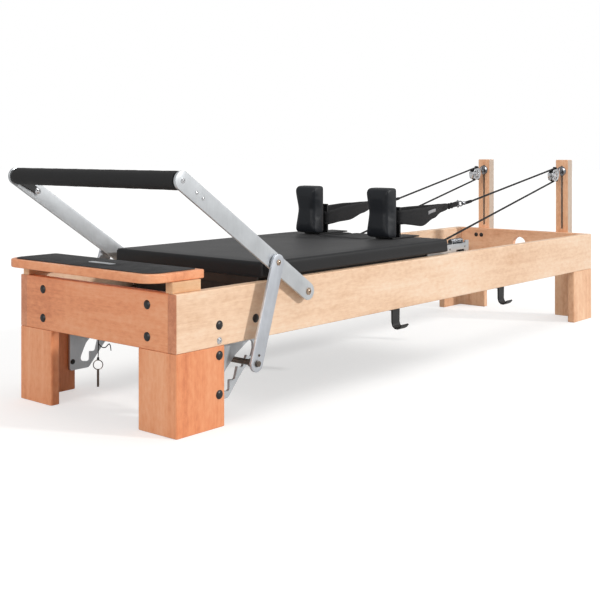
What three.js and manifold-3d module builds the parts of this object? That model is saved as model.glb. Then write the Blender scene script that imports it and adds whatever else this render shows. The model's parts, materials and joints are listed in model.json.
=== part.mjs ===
// Pilates reformer: a maple frame on four legs, a sprung carriage on tracks, a footbar that tilts
// in notched racks, and two rope runs over pulleys on slotted posts.
// Millimetres, +Z up, floor at Z = 0. Lengths run from the foot end (X = 0) to the head end, and the
// whole model is shifted at the end so that its origin is the middle of its footprint.
import * as THREE from 'three';
import { mergeVertices } from 'three/addons/utils/BufferGeometryUtils.js';
import Module from 'manifold-3d';

const wasm = await Module();
wasm.setup();

// ---- driving dimensions -------------------------------------------------------------------
const GAP = 0.3; // between pieces that touch
const SIDES = { near: -1, far: 1 };

// wooden frame
const LENGTH = 2420;
const HALF_WIDTH = 333;
const TOP = 362;
const RAIL_BOTTOM = 212;
const RAIL_T = 32;
const RAIL_INSIDE = HALF_WIDTH - RAIL_T;
const PANEL_T = 25;
const CORNER_R = 5;
const EDGE_R = 3;
const LEG_T = 30;
const LEG_R = { end: 8, step: 5 };
const FOOT_LEG = { side: 174, end: 148 };
const HEAD_LEG = { side: 170, end: 158 };
const PANEL_HOLE = { r: 32, z: 300 };

// tracks, running wheels and carriage
const TRACK = { start: 130, end: 2380, bottom: 250, top: 290, width: 38.7, wall: 5 };
const WHEEL = { r: 25, width: 22, y: 275, bore: 5.4, footX: 420, headX: 1404 };
const AXLE_R = 5;
const DECK = { start: 345, end: 1346, bottom: 343, top: 368.7, halfWidth: 291 };
const PAD = { start: 338, end: 1298, bottom: 369, top: 416, halfWidth: 316, r: 6 };
const HEADREST = { start: 1095, halfWidth: 93, seam: 1.5 };

// shoulder rests and foot straps
const REST = { y: 161, width: 98, front: 1075, back: 1139, bottom: 422, top: 594 };
const UPRIGHT = { front: 1168, t: 7, top: 526, width: 73, foot: 1290, toe: 42, footT: 5 };
const STANDOFF = { r: 5, heights: [440, 519] };
const STRAP = {
  start: 1157.6,
  end: 1525,
  endY: 165,
  bottom: 450,
  height: 62,
  band: 7,
  half: 46,
  rise: 0.075,
};

// footbar
const PIVOT = new THREE.Vector2(484, 322);
const BAR = new THREE.Vector2(-1, 647);
const STRUT_PIN_REACH = 169;
const CROSS_ROD = new THREE.Vector2(258, 154);
const STRUT_RATIO = -1.25; // turn of the strut on the arm, over the turn of the arm
const ARM = { inside: 350, t: 8, width: 50 };
const STRUT = { inside: 361, t: 8, width: 46 };
const ROD_R = 8;
const BAR_TUBE_R = 14;
const FOAM_R = 24.8;
const STIFFENER_T = 6;
const PIVOT_BOLT_R = 6;
const NOTCH_TURNS = [-27, -13.5, 0, 13]; // degrees of arm turn at each notch

// standing platform
const PLATFORM = { front: -70, back: 116, halfWidth: 315, bottom: 391.5, top: 414.5, r: 56 };
const BLOCK = { start: 0, end: 99, inside: 292, width: 27 };

// posts, pulleys and ropes
const POST = { y: 195, width: 58, t: 42, top: 680, slotLow: 380, slotHigh: 650, slotR: 4 };
const PULLEY = { x: 2338, z: 614, grooveR: 22.5, rimR: 27.5, width: 14, bore: 4.4, pinR: 4 };
const EYE_Z = 631;
const ROPE_R = 3.75;
const ROPE_ANCHOR = [1347.2, 195, 367];
const ROPE_CLIP = [1657, 168.5, 519];

// springs and their bar
const SPRING_BAR = { start: 180, end: 200, bottom: 232, top: 262 };
const SPRING = { r: 13, hookR: 4, z: 247, pitch: 60, count: 5, end: 840, hook: 18, taper: 10 };
const springY = (i) => (i - (SPRING.count - 1) / 2) * SPRING.pitch;

// knob at the back of each post
const KNOB = { r: 18, depth: 20, gap: 4 };

// ---- materials ----------------------------------------------------------------------------
const material = (color, roughness, metalness = 0) =>
  new THREE.MeshStandardMaterial({ color, roughness, metalness });
const maple = material(0xf0d3ab, 0.45);
const beech = material(0xe8a478, 0.45);
const aluminium = material(0xc4c7cb, 0.35, 1);
const steel = material(0x9a9c9f, 0.3, 1);
const chrome = material(0xd8dadc, 0.12, 1);
const blackSteel = material(0x1c1c1e, 0.5, 0.6);
const vinyl = material(0x2b2e33, 0.55);
const foam = material(0x232427, 0.8);
const rubber = material(0x1b1b1b, 0.85);
const webbing = material(0x16171a, 0.9);
const plywood = material(0x26241f, 0.7);

// ---- geometry helpers ---------------------------------------------------------------------
function toSolid(geometry) {
  const bare = geometry.clone();
  bare.deleteAttribute('normal');
  bare.deleteAttribute('uv');
  const merged = mergeVertices(bare, 1e-4);
  const vertProperties = new Float32Array(merged.attributes.position.array);
  const triVerts = new Uint32Array(merged.index.array);
  return new wasm.Manifold(new wasm.Mesh({ numProp: 3, vertProperties, triVerts }));
}

function toGeometry(solid) {
  const mesh = solid.getMesh();
  const geometry = new THREE.BufferGeometry();
  geometry.setAttribute('position', new THREE.BufferAttribute(mesh.vertProperties, 3));
  geometry.setIndex(new THREE.BufferAttribute(mesh.triVerts, 1));
  return geometry;
}

const join = (first, ...others) =>
  toGeometry(others.reduce((solid, other) => solid.add(toSolid(other)), toSolid(first)));

const cut = (first, ...others) =>
  toGeometry(others.reduce((solid, other) => solid.subtract(toSolid(other)), toSolid(first)));

// A closed outline through [x, y, radius] corners, each rounded to its own radius.
function outline(corners, segments = 4) {
  const points = [];
  corners.forEach(([x, y, r = 0], i) => {
    const corner = new THREE.Vector2(x, y);
    if (r === 0) {
      points.push(corner);
      return;
    }
    const before = corners[(i + corners.length - 1) % corners.length];
    const after = corners[(i + 1) % corners.length];
    const back = new THREE.Vector2(before[0] - x, before[1] - y).normalize();
    const ahead = new THREE.Vector2(after[0] - x, after[1] - y).normalize();
    const half = Math.acos(THREE.MathUtils.clamp(back.dot(ahead), -1, 1)) / 2;
    const middle = back.clone().add(ahead).normalize();
    const centre = corner.clone().addScaledVector(middle, r / Math.sin(half));
    const start = corner.clone().addScaledVector(back, r / Math.tan(half)).sub(centre);
    const end = corner.clone().addScaledVector(ahead, r / Math.tan(half)).sub(centre);
    const turn = Math.atan2(start.cross(end), start.dot(end));
    for (let k = 0; k <= segments; k += 1) {
      const spoke = start.clone().rotateAround(new THREE.Vector2(), (turn * k) / segments);
      points.push(centre.clone().add(spoke));
    }
  });
  return points;
}

const rectangle = (x0, y0, x1, y1, r = 0, segments = 3) =>
  outline([[x0, y0, r], [x1, y0, r], [x1, y1, r], [x0, y1, r]], segments);

function circle(x, y, r, segments = 24) {
  const spot = (k) => {
    const angle = (2 * Math.PI * k) / segments;
    return new THREE.Vector2(x + r * Math.cos(angle), y + r * Math.sin(angle));
  };
  return Array.from({ length: segments }, (_, k) => spot(k));
}

// The outline of a flat link with round ends about two points.
function stadium(a, b, r, segments = 10) {
  const along = Math.atan2(b.y - a.y, b.x - a.x);
  const points = [];
  [[a, along + Math.PI / 2], [b, along - Math.PI / 2]].forEach(([centre, from]) => {
    for (let k = 0; k <= segments; k += 1) {
      const angle = from + (Math.PI * k) / segments;
      points.push(new THREE.Vector2(centre.x + r * Math.cos(angle), centre.y + r * Math.sin(angle)));
    }
  });
  return points;
}

// An outline pushed along an axis from one value to another, with its edges rounded by edge.
// Outlines are drawn in Y,Z for the x axis, in X,Z for the y axis and in X,Y for the z axis.
const AXES = {
  x: [new THREE.Vector3(0, 1, 0), new THREE.Vector3(0, 0, 1), new THREE.Vector3(1, 0, 0)],
  y: [new THREE.Vector3(1, 0, 0), new THREE.Vector3(0, 0, 1), new THREE.Vector3(0, -1, 0)],
  z: [new THREE.Vector3(1, 0, 0), new THREE.Vector3(0, 1, 0), new THREE.Vector3(0, 0, 1)],
};

function prism(axis, points, from, to, { edge = 0, holes = [], steps = 3 } = {}) {
  const shape = new THREE.Shape(points);
  holes.forEach((hole) => shape.holes.push(new THREE.Path(hole)));
  const geometry = new THREE.ExtrudeGeometry(shape, {
    depth: to - from - 2 * edge,
    bevelEnabled: edge > 0,
    bevelThickness: edge,
    bevelSize: edge,
    bevelOffset: -edge,
    bevelSegments: steps,
  });
  geometry.translate(0, 0, edge);
  geometry.applyMatrix4(new THREE.Matrix4().makeBasis(...AXES[axis]));
  const base = AXES[axis][2].clone().multiplyScalar(axis === 'y' ? -to : from);
  return geometry.translate(base.x, base.y, base.z);
}

// A profile of [radius, distance] pairs spun about an axis through a centre.
function spin(axis, profile, centre, segments = 20) {
  const geometry = new THREE.LatheGeometry(profile.map(([r, d]) => new THREE.Vector2(r, d)), segments);
  if (axis === 'x') geometry.rotateZ(-Math.PI / 2);
  if (axis === 'z') geometry.rotateX(Math.PI / 2);
  return geometry.translate(...centre);
}

const cylinder = (axis, r, from, to, centre, segments = 20) =>
  spin(axis, [[0, from], [r, from], [r, to], [0, to]], centre, segments);

const ring = (axis, bore, r, from, to, centre, segments = 20) =>
  spin(axis, [[bore, from], [r, from], [r, to], [bore, to], [bore, from]], centre, segments);

// A tube with one ring of its section at each point of its route.
class Route extends THREE.CatmullRomCurve3 {
  getUtoTmapping(u) {
    return u;
  }
}

function tube(points, r, sides = 8) {
  const route = new Route(points.map((p) => new THREE.Vector3(...p)), false, 'centripetal');
  const section = new THREE.Shape(circle(0, 0, r, sides));
  return new THREE.ExtrudeGeometry(section, { steps: points.length - 1, extrudePath: route });
}

// A span across the rails, given by its distances from the middle plane, on one side of it.
const across = (side, inside, outside) => (side < 0 ? [-outside, -inside] : [inside, outside]);

const reformer = new THREE.Group();
const fixed = new THREE.Group();
const carriage = new THREE.Group();
const footbar = new THREE.Group();
reformer.add(fixed, carriage, footbar);

function place(group, name, geometry, surface) {
  const mesh = new THREE.Mesh(geometry, surface);
  mesh.name = name;
  group.add(mesh);
  return mesh;
}

// ---- wooden frame -------------------------------------------------------------------------
// The rails run the whole length, and the end panels sit between them.
function makeRail(side) {
  const [inner, outer] = [side * RAIL_INSIDE, side * HALF_WIDTH];
  const corners = [[0, inner], [LENGTH, inner], [LENGTH, outer, CORNER_R], [0, outer, CORNER_R]];
  return prism('z', outline(corners, 4), RAIL_BOTTOM, TOP, { edge: EDGE_R });
}

function makeEndPanel(outer, inner) {
  const reach = RAIL_INSIDE - GAP;
  const section = rectangle(Math.min(outer, inner), RAIL_BOTTOM, Math.max(outer, inner), TOP, EDGE_R);
  return prism('y', section, -reach, reach);
}

function makeLeg(side, size, isHead) {
  const corners = [
    [0, 0, CORNER_R],
    [size.side, 0, LEG_R.end],
    [size.side, LEG_T, LEG_R.step],
    [LEG_T, LEG_T],
    [LEG_T, size.end, LEG_R.step],
    [0, size.end, LEG_R.end],
  ];
  const placed = corners.map(([fromEnd, fromSide, r]) => [
    isHead ? LENGTH - fromEnd : fromEnd,
    side * (HALF_WIDTH - fromSide),
    r,
  ]);
  return prism('z', outline(placed, 5), 0, RAIL_BOTTOM - GAP, { edge: 2, steps: 2 });
}

function makePost(side) {
  const y = side * POST.y;
  const board = rectangle(y - POST.width / 2, RAIL_BOTTOM, y + POST.width / 2, POST.top, 4);
  const low = new THREE.Vector2(y, POST.slotLow);
  const high = new THREE.Vector2(y, POST.slotHigh);
  const slot = stadium(low, high, POST.slotR, 6);
  const front = LENGTH + GAP;
  return prism('x', board, front, front + POST.t, { edge: 2, holes: [slot], steps: 2 });
}

const holeCentre = [0, 0, PANEL_HOLE.z];
const headPanelHole = cylinder('x', PANEL_HOLE.r, LENGTH - 2 * PANEL_T, LENGTH + PANEL_T, holeCentre, 32);
place(fixed, 'foot_end_panel', makeEndPanel(0, PANEL_T), beech);
place(fixed, 'head_end_panel', cut(makeEndPanel(LENGTH, LENGTH - PANEL_T), headPanelHole), beech);
Object.entries(SIDES).forEach(([name, side]) => {
  place(fixed, `rail_${name}`, makeRail(side), maple);
  place(fixed, `leg_foot_${name}`, makeLeg(side, FOOT_LEG, false), beech);
  place(fixed, `leg_head_${name}`, makeLeg(side, HEAD_LEG, true), beech);
  place(fixed, `pulley_post_${name}`, makePost(side), beech);
});

// ---- standing platform --------------------------------------------------------------------
function platformOutline(inset) {
  const front = PLATFORM.front + inset;
  const back = PLATFORM.back - inset;
  const half = PLATFORM.halfWidth - inset;
  const round = PLATFORM.r - inset;
  return outline([[front, -half, round], [back, -half, 6], [back, half, 6], [front, half, round]], 7);
}

const platformBoard = prism('z', platformOutline(0), PLATFORM.bottom, PLATFORM.top, { edge: 3.5 });
const GRIP_INSET = 16;
const GRIP_T = 2;
const gripBase = PLATFORM.top + GAP;
place(fixed, 'platform_board', platformBoard, beech);
place(fixed, 'platform_grip', prism('z', platformOutline(GRIP_INSET), gripBase, gripBase + GRIP_T), rubber);
Object.entries(SIDES).forEach(([name, side]) => {
  const [y0, y1] = across(side, BLOCK.inside, BLOCK.inside + BLOCK.width);
  const block = rectangle(BLOCK.start, y0, BLOCK.end, y1, 2, 2);
  place(fixed, `platform_block_${name}`, prism('z', block, TOP + GAP, PLATFORM.bottom - GAP), maple);
});

// ---- tracks -------------------------------------------------------------------------------
Object.entries(SIDES).forEach(([name, side]) => {
  const wall = side * (RAIL_INSIDE - GAP);
  const lip = side * (RAIL_INSIDE - GAP - TRACK.width);
  const inner = wall - side * TRACK.wall;
  const section = outline([
    [wall, TRACK.bottom],
    [wall, TRACK.top],
    [lip, TRACK.top],
    [lip, TRACK.top - TRACK.wall],
    [inner, TRACK.top - TRACK.wall],
    [inner, TRACK.bottom],
  ]);
  place(fixed, `track_${name}`, prism('x', section, TRACK.start, TRACK.end), aluminium);
});

// ---- footbar linkage ----------------------------------------------------------------------
// A vector in X,Z turned by the arms' own sense, in degrees from rest.
function turned(vector, degrees) {
  return vector.clone().rotateAround(new THREE.Vector2(), THREE.MathUtils.degToRad(-degrees));
}

const armDirection = BAR.clone().sub(PIVOT).normalize();
const STRUT_PIN = PIVOT.clone().addScaledVector(armDirection, STRUT_PIN_REACH);

// The cross rod's middle when the arms have turned by a number of degrees from rest.
function rodPlace(degrees) {
  const pin = PIVOT.clone().add(turned(STRUT_PIN.clone().sub(PIVOT), degrees));
  return pin.add(turned(CROSS_ROD.clone().sub(STRUT_PIN), degrees * (1 + STRUT_RATIO)));
}

// A point beside the rod's path: offset is towards the toothed edge, ahead is along the path.
function besideRod(degrees, offset, ahead = 0) {
  const along = rodPlace(degrees + 1).sub(rodPlace(degrees - 1)).normalize();
  const aside = new THREE.Vector2(along.y, -along.x);
  return rodPlace(degrees).addScaledVector(aside, offset).addScaledVector(along, ahead);
}

// The toothed plate that the cross rod drops into. Its teeth stay just under the rod's path.
const TOOTH_OFFSET = 9.2;
const NOTCH_OFFSET = 26;
const BACK_OFFSET = -22;
const EDGE_OFFSET = 32;
const RACK = { left: 145, right: 352, bottom: 60, top: 240, t: 8 };

function rackSlot() {
  const corner = (point, r) => [point.x, point.y, r];
  const [lowest, ...others] = NOTCH_TURNS;
  const toothed = [corner(besideRod(lowest, NOTCH_OFFSET, -2), 7)];
  others.forEach((degrees) => {
    toothed.push(corner(besideRod(degrees, TOOTH_OFFSET, -14), 2.5));
    toothed.push(corner(besideRod(degrees, NOTCH_OFFSET, -2), 6));
  });
  const highest = NOTCH_TURNS[NOTCH_TURNS.length - 1];
  const top = [
    corner(besideRod(highest, TOOTH_OFFSET, 16), 4),
    corner(besideRod(highest, -8, 24), 8),
    corner(besideRod(highest, BACK_OFFSET, 14), 12),
  ];
  const backAngles = [0, -15];
  const back = backAngles.map((degrees) => corner(besideRod(degrees, BACK_OFFSET), 30));
  return outline([...toothed, ...top, ...back, corner(besideRod(lowest, -14, -17), 12)], 4);
}

function makeRack(side) {
  const low = besideRod(NOTCH_TURNS[0], EDGE_OFFSET);
  const middle = besideRod(0, EDGE_OFFSET);
  const high = besideRod(NOTCH_TURNS[3], EDGE_OFFSET, 12);
  const edge = outline([
    [RACK.left, RACK.bottom, 8],
    [low.x - 12, RACK.bottom, 12],
    [middle.x, middle.y, 60],
    [high.x, high.y, 20],
    [RACK.right, RAIL_BOTTOM, 6],
    [RACK.right, RACK.top, 6],
    [RACK.left, RACK.top, 6],
  ], 4);
  const [y0, y1] = across(side, RAIL_INSIDE - GAP - RACK.t, RAIL_INSIDE - GAP);
  return prism('y', edge, y0, y1, { holes: [rackSlot()] });
}

function makeArm(side) {
  const [y0, y1] = across(side, ARM.inside, ARM.inside + ARM.t);
  const bore = circle(PIVOT.x, PIVOT.y, PIVOT_BOLT_R + GAP, 20);
  return prism('y', stadium(PIVOT, BAR, ARM.width / 2), y0, y1, { holes: [bore] });
}

function makeStrut(side) {
  const [y0, y1] = across(side, STRUT.inside, STRUT.inside + STRUT.t);
  const bore = circle(CROSS_ROD.x, CROSS_ROD.y, ROD_R + GAP, 20);
  return prism('y', stadium(STRUT_PIN, CROSS_ROD, STRUT.width / 2), y0, y1, { holes: [bore] });
}

// The bolt that carries one arm, with the spacer between the arm and the rail.
function makePivotBolt(side) {
  const profile = [
    [0, HALF_WIDTH + GAP],
    [15, HALF_WIDTH + GAP],
    [15, ARM.inside - GAP],
    [PIVOT_BOLT_R, ARM.inside - GAP],
    [PIVOT_BOLT_R, ARM.inside + ARM.t + GAP],
    [11, ARM.inside + ARM.t + GAP],
    [11, ARM.inside + ARM.t + 5],
    [0, ARM.inside + ARM.t + 5],
  ];
  const bolt = spin('y', profile, [0, 0, 0]);
  if (side < 0) bolt.rotateZ(Math.PI);
  return bolt.translate(PIVOT.x, 0, PIVOT.y);
}

// The cross tube under the foam, with a tapered stiffening plate inside each arm.
function makeBarTube() {
  const reach = ARM.inside - GAP;
  const pieces = [cylinder('y', BAR_TUBE_R, -reach, reach, [BAR.x, 0, BAR.y])];
  const tip = BAR.clone().addScaledVector(armDirection, -84);
  const side = new THREE.Vector2(-armDirection.y, armDirection.x);
  const cornerAt = (centre, aside, r) => {
    const spot = centre.clone().addScaledVector(side, aside);
    return [spot.x, spot.y, r];
  };
  const nose = BAR.clone().addScaledVector(armDirection, 20);
  const plate = outline([
    cornerAt(nose, 19, 12),
    cornerAt(nose, -19, 12),
    cornerAt(tip, -8, 6),
    cornerAt(tip, 8, 6),
  ]);
  Object.values(SIDES).forEach((sign) => {
    const [y0, y1] = across(sign, reach - STIFFENER_T, reach);
    pieces.push(prism('y', plate, y0, y1));
  });
  return join(...pieces);
}

place(footbar, 'footbar_tube', makeBarTube(), blackSteel);
const foamReach = ARM.inside - GAP - STIFFENER_T - GAP;
const foamCentre = [BAR.x, 0, BAR.y];
const foamTube = ring('y', BAR_TUBE_R + GAP, FOAM_R, -foamReach, foamReach, foamCentre, 24);
place(footbar, 'footbar_foam', foamTube, foam);
Object.entries(SIDES).forEach(([name, side]) => {
  place(footbar, `footbar_arm_${name}`, makeArm(side), aluminium);
  place(footbar, `footbar_strut_${name}`, makeStrut(side), aluminium);
  place(fixed, `footbar_pivot_${name}`, makePivotBolt(side), steel);
  place(fixed, `footbar_rack_${name}`, makeRack(side), aluminium);
});
const rodReach = STRUT.inside + STRUT.t + 6;
const rodCentre = [CROSS_ROD.x, 0, CROSS_ROD.y];
place(footbar, 'footbar_cross_rod', cylinder('y', ROD_R, -rodReach, rodReach, rodCentre, 16), steel);

// ---- spring bar and springs ---------------------------------------------------------------
const HANGER = { start: 172, end: 240, bottom: 216, t: 6 };
const rackInside = RAIL_INSIDE - GAP - RACK.t - GAP;

function makeSpringBar() {
  const { start, end, bottom, top } = SPRING_BAR;
  const reach = rackInside - HANGER.t + 1;
  const pieces = [prism('y', rectangle(start, bottom, end, top, 3, 2), -reach, reach)];
  Object.values(SIDES).forEach((side) => {
    const [y0, y1] = across(side, rackInside - HANGER.t, rackInside);
    pieces.push(prism('y', rectangle(HANGER.start, HANGER.bottom, HANGER.end, top, 6, 3), y0, y1));
  });
  for (let i = 0; i < SPRING.count; i += 1) {
    pieces.push(cylinder('z', SPRING.hookR, top - 1, top + 14, [(start + end) / 2, springY(i), 0], 10));
  }
  return join(...pieces);
}

place(fixed, 'spring_bar', makeSpringBar(), steel);
for (let i = 0; i < SPRING.count; i += 1) {
  const start = SPRING_BAR.end + GAP;
  const profile = [
    [0, start],
    [SPRING.hookR, start],
    [SPRING.hookR, start + SPRING.hook],
    [SPRING.r, start + SPRING.hook + SPRING.taper],
    [SPRING.r, SPRING.end - SPRING.hook - SPRING.taper],
    [SPRING.hookR, SPRING.end - SPRING.hook],
    [SPRING.hookR, SPRING.end],
    [0, SPRING.end],
  ];
  place(fixed, `spring_${i + 1}`, spin('x', profile, [0, springY(i), SPRING.z], 10), steel);
}

// ---- carriage -----------------------------------------------------------------------------
// Deck board, two side beams with the foot-end axles, the spring anchor bar and the rope lugs.
const BEAM = { inside: 236, outside: 258, bottom: 300, end: 1290 };
const ANCHOR_BAR = { bottom: 233, t: 22, reach: 200 };
const ROPE_LUG = { length: 24, halfWidth: 6, top: 374 };
const wheelCentreZ = TRACK.top + WHEEL.r + GAP;

function makeDeck() {
  const { start, end, bottom, top, halfWidth } = DECK;
  const tailTop = 360;
  const barEnd = SPRING.end + ANCHOR_BAR.t;
  const anchorBar = rectangle(SPRING.end + GAP, ANCHOR_BAR.bottom, barEnd, bottom + 1, 2, 2);
  const pieces = [
    prism('z', rectangle(start, -halfWidth, PAD.end - 4, halfWidth, 6), bottom, top),
    prism('z', rectangle(PAD.end - 10, -halfWidth + 6, end, halfWidth - 6, 4), bottom, tailTop),
    prism('y', anchorBar, -ANCHOR_BAR.reach, ANCHOR_BAR.reach),
  ];
  Object.values(SIDES).forEach((side) => {
    const [y0, y1] = across(side, BEAM.inside, BEAM.outside);
    pieces.push(prism('x', rectangle(y0, BEAM.bottom, y1, bottom + 1, 2, 2), start + 20, BEAM.end));
    const [a0, a1] = across(side, BEAM.outside - 4, WHEEL.y + WHEEL.width / 2 + 4);
    pieces.push(cylinder('y', AXLE_R, a0, a1, [WHEEL.footX, 0, wheelCentreZ], 14));
    const [l0, l1] = across(side, ROPE_ANCHOR[1] - ROPE_LUG.halfWidth, ROPE_ANCHOR[1] + ROPE_LUG.halfWidth);
    pieces.push(prism('y', rectangle(end - ROPE_LUG.length, tailTop - 2, end, ROPE_LUG.top, 4, 3), l0, l1));
  });
  return join(...pieces);
}

// The aluminium side plate at each head corner: a low tongue under the pad, a raised cheek past
// it, a top flange and the axle of the head-end wheel.
const CHEEK = { inside: 291.6, outside: 296.6, tongue: 1190, start: 1330, end: 1461, low: 300, lug: 22 };
const CHEEK_Z = { bottom: 346, tongueTop: 367, top: 389.5, lugTop: 399, flangeT: 5 };

function makeCornerBracket(side) {
  const [y0, y1] = across(side, CHEEK.inside, CHEEK.outside);
  const cheek = outline([
    [CHEEK.tongue, CHEEK_Z.bottom, 3],
    [CHEEK.start, CHEEK_Z.bottom, 4],
    [WHEEL.headX - 22, CHEEK.low, 14],
    [WHEEL.headX + 22, CHEEK.low, 14],
    [CHEEK.end, CHEEK_Z.bottom, 4],
    [CHEEK.end, CHEEK_Z.lugTop, 3],
    [CHEEK.end - CHEEK.lug, CHEEK_Z.lugTop, 3],
    [CHEEK.end - CHEEK.lug, CHEEK_Z.top, 2],
    [PAD.end + 5, CHEEK_Z.top, 6],
    [PAD.end + 5, CHEEK_Z.tongueTop],
    [CHEEK.tongue, CHEEK_Z.tongueTop, 3],
  ], 3);
  const hole = circle(CHEEK.end - 27, 378, 3, 12);
  const slot = stadium(new THREE.Vector2(1380, 365), new THREE.Vector2(1428, 365), 3.5, 6);
  const [f0, f1] = across(side, 262, CHEEK.outside - 1);
  const flange = rectangle(CHEEK.start + 24, f0, CHEEK.end, f1, 3, 2);
  const [a0, a1] = across(side, WHEEL.y - WHEEL.width / 2 - 2, CHEEK.outside - 1);
  return join(
    prism('y', cheek, y0, y1, { holes: [hole, slot] }),
    prism('z', flange, CHEEK_Z.top - CHEEK_Z.flangeT, CHEEK_Z.top),
    cylinder('y', AXLE_R, a0, a1, [WHEEL.headX, 0, wheelCentreZ], 14),
  );
}

function makeWheel() {
  const half = WHEEL.width / 2;
  const profile = [
    [WHEEL.bore, -half],
    [WHEEL.r - 1.5, -half],
    [WHEEL.r, -half + 1.5],
    [WHEEL.r, half - 1.5],
    [WHEEL.r - 1.5, half],
    [WHEEL.bore, half],
    [WHEEL.bore, -half],
  ];
  return spin('y', profile, [0, 0, 0], 24);
}

// The main pad has a rectangular bay at its head end that the hinged headrest fills.
function makePad() {
  const { start, end, bottom, top, halfWidth, r } = PAD;
  const bay = HEADREST.halfWidth + HEADREST.seam;
  const bayStart = HEADREST.start - HEADREST.seam;
  const corners = [
    [start, -halfWidth, r],
    [end, -halfWidth, r],
    [end, -bay],
    [bayStart, -bay],
    [bayStart, bay],
    [end, bay],
    [end, halfWidth, r],
    [start, halfWidth, r],
  ];
  return prism('z', outline(corners), bottom, top, { edge: 5, steps: 2 });
}

function makeHeadrest() {
  const half = HEADREST.halfWidth;
  const corners = [
    [HEADREST.start, -half, 7],
    [PAD.end, -half, 8],
    [PAD.end, half, 8],
    [HEADREST.start, half, 7],
  ];
  return prism('z', outline(corners), PAD.bottom + 1, PAD.top, { edge: 5, steps: 2 });
}

function makeShoulderPad(side) {
  const { front, back, bottom, top, y, width } = REST;
  const waist = outline([
    [front + 2, bottom, 18],
    [back, bottom, 10],
    [back, top, 12],
    [front, top, 22],
    [front + 12, (bottom + top) / 2, 90],
  ], 5);
  const middle = side * y;
  return prism('y', waist, middle - width / 2, middle + width / 2, { edge: 8, steps: 3 });
}

// The steel angle that holds a shoulder pad, with two standoffs that leave room for the strap.
function makeShoulderBracket(side) {
  const { front, t, top, width, foot, toe, footT } = UPRIGHT;
  const floor = PAD.top + GAP;
  const angle = outline([
    [front - toe, floor, 1.5],
    [foot, floor, 1.5],
    [foot, floor + footT, 1.5],
    [front + t, floor + footT, 4],
    [front + t, top, 3],
    [front, top, 3],
    [front, floor + footT],
    [front - toe, floor + footT, 1.5],
  ], 3);
  const [y0, y1] = [side * REST.y - width / 2, side * REST.y + width / 2];
  const pieces = [prism('y', angle, y0, y1)];
  STANDOFF.heights.forEach((z) => {
    pieces.push(cylinder('x', STANDOFF.r, REST.back + GAP, front + 1, [0, side * REST.y, z], 12));
  });
  return join(...pieces);
}

// A foot strap: a padded loop that hangs round the upright, with its webbing tail to the rope.
function makeStrap(side) {
  const { start, end, bottom, height, endY, rise, band, half } = STRAP;
  const y = REST.y;
  const outer = outline([
    [start, y - half, 12],
    [start, y + half, 12],
    [1400, y + 30, 60],
    [end, endY + 9, 5],
    [end, endY - 9, 5],
    [1400, y - 24, 60],
  ], 4);
  const inner = outline([
    [start + band, y - half + band, 6],
    [start + band, y + half - band, 6],
    [1396, y + 30 - band, 50],
    [end - 26, endY + 2, 1],
    [end - 26, endY - 2, 1],
    [1396, y - 24 + band, 50],
  ], 4);
  const tail = rectangle(end - 6, endY - 2, ROPE_CLIP[0] - GAP - 3, endY + 3.5, 1, 2);
  const top = bottom + height;
  const loop = cut(prism('z', outer, bottom, top), prism('z', inner, bottom - 1, top + 1));
  const whole = join(loop, prism('z', tail, bottom + 24, bottom + 46));
  const shear = new THREE.Matrix4().set(1, 0, 0, 0, 0, 1, 0, 0, rise, 0, 1, -rise * start, 0, 0, 0, 1);
  whole.applyMatrix4(shear);
  if (side < 0) whole.rotateZ(Math.PI).applyMatrix4(new THREE.Matrix4().makeScale(-1, 1, 1));
  if (side < 0) flip(whole);
  return whole;
}

// Turns every triangle over, after a mirror.
function flip(geometry) {
  const index = geometry.index.array;
  for (let i = 0; i < index.length; i += 3) [index[i], index[i + 1]] = [index[i + 1], index[i]];
}

place(carriage, 'carriage_deck', makeDeck(), plywood);
place(carriage, 'carriage_pad', makePad(), vinyl);
place(carriage, 'headrest_pad', makeHeadrest(), vinyl);
Object.entries(SIDES).forEach(([name, side]) => {
  place(carriage, `corner_bracket_${name}`, makeCornerBracket(side), aluminium);
  place(carriage, `shoulder_pad_${name}`, makeShoulderPad(side), vinyl);
  place(carriage, `shoulder_bracket_${name}`, makeShoulderBracket(side), blackSteel);
  place(carriage, `foot_strap_${name}`, makeStrap(side), webbing);
  [['foot', WHEEL.footX], ['head', WHEEL.headX]].forEach(([end, x]) => {
    const wheel = place(carriage, `wheel_${end}_${name}`, makeWheel(), rubber);
    wheel.position.set(x, side * WHEEL.y, wheelCentreZ);
  });
});

// ---- pulleys and ropes --------------------------------------------------------------------
const ROPE_LAY_R = PULLEY.grooveR + ROPE_R + GAP;
const postFront = LENGTH + GAP;
const postBack = postFront + POST.t;

function makeSheave() {
  const half = PULLEY.width / 2;
  const profile = [
    [PULLEY.bore, -half],
    [PULLEY.rimR, -half],
    [PULLEY.rimR, -half + 1.2],
    [PULLEY.grooveR, -4.2],
    [PULLEY.grooveR, 4.2],
    [PULLEY.rimR, half - 1.2],
    [PULLEY.rimR, half],
    [PULLEY.bore, half],
    [PULLEY.bore, -half],
  ];
  return spin('y', profile, [0, 0, 0], 28);
}

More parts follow.
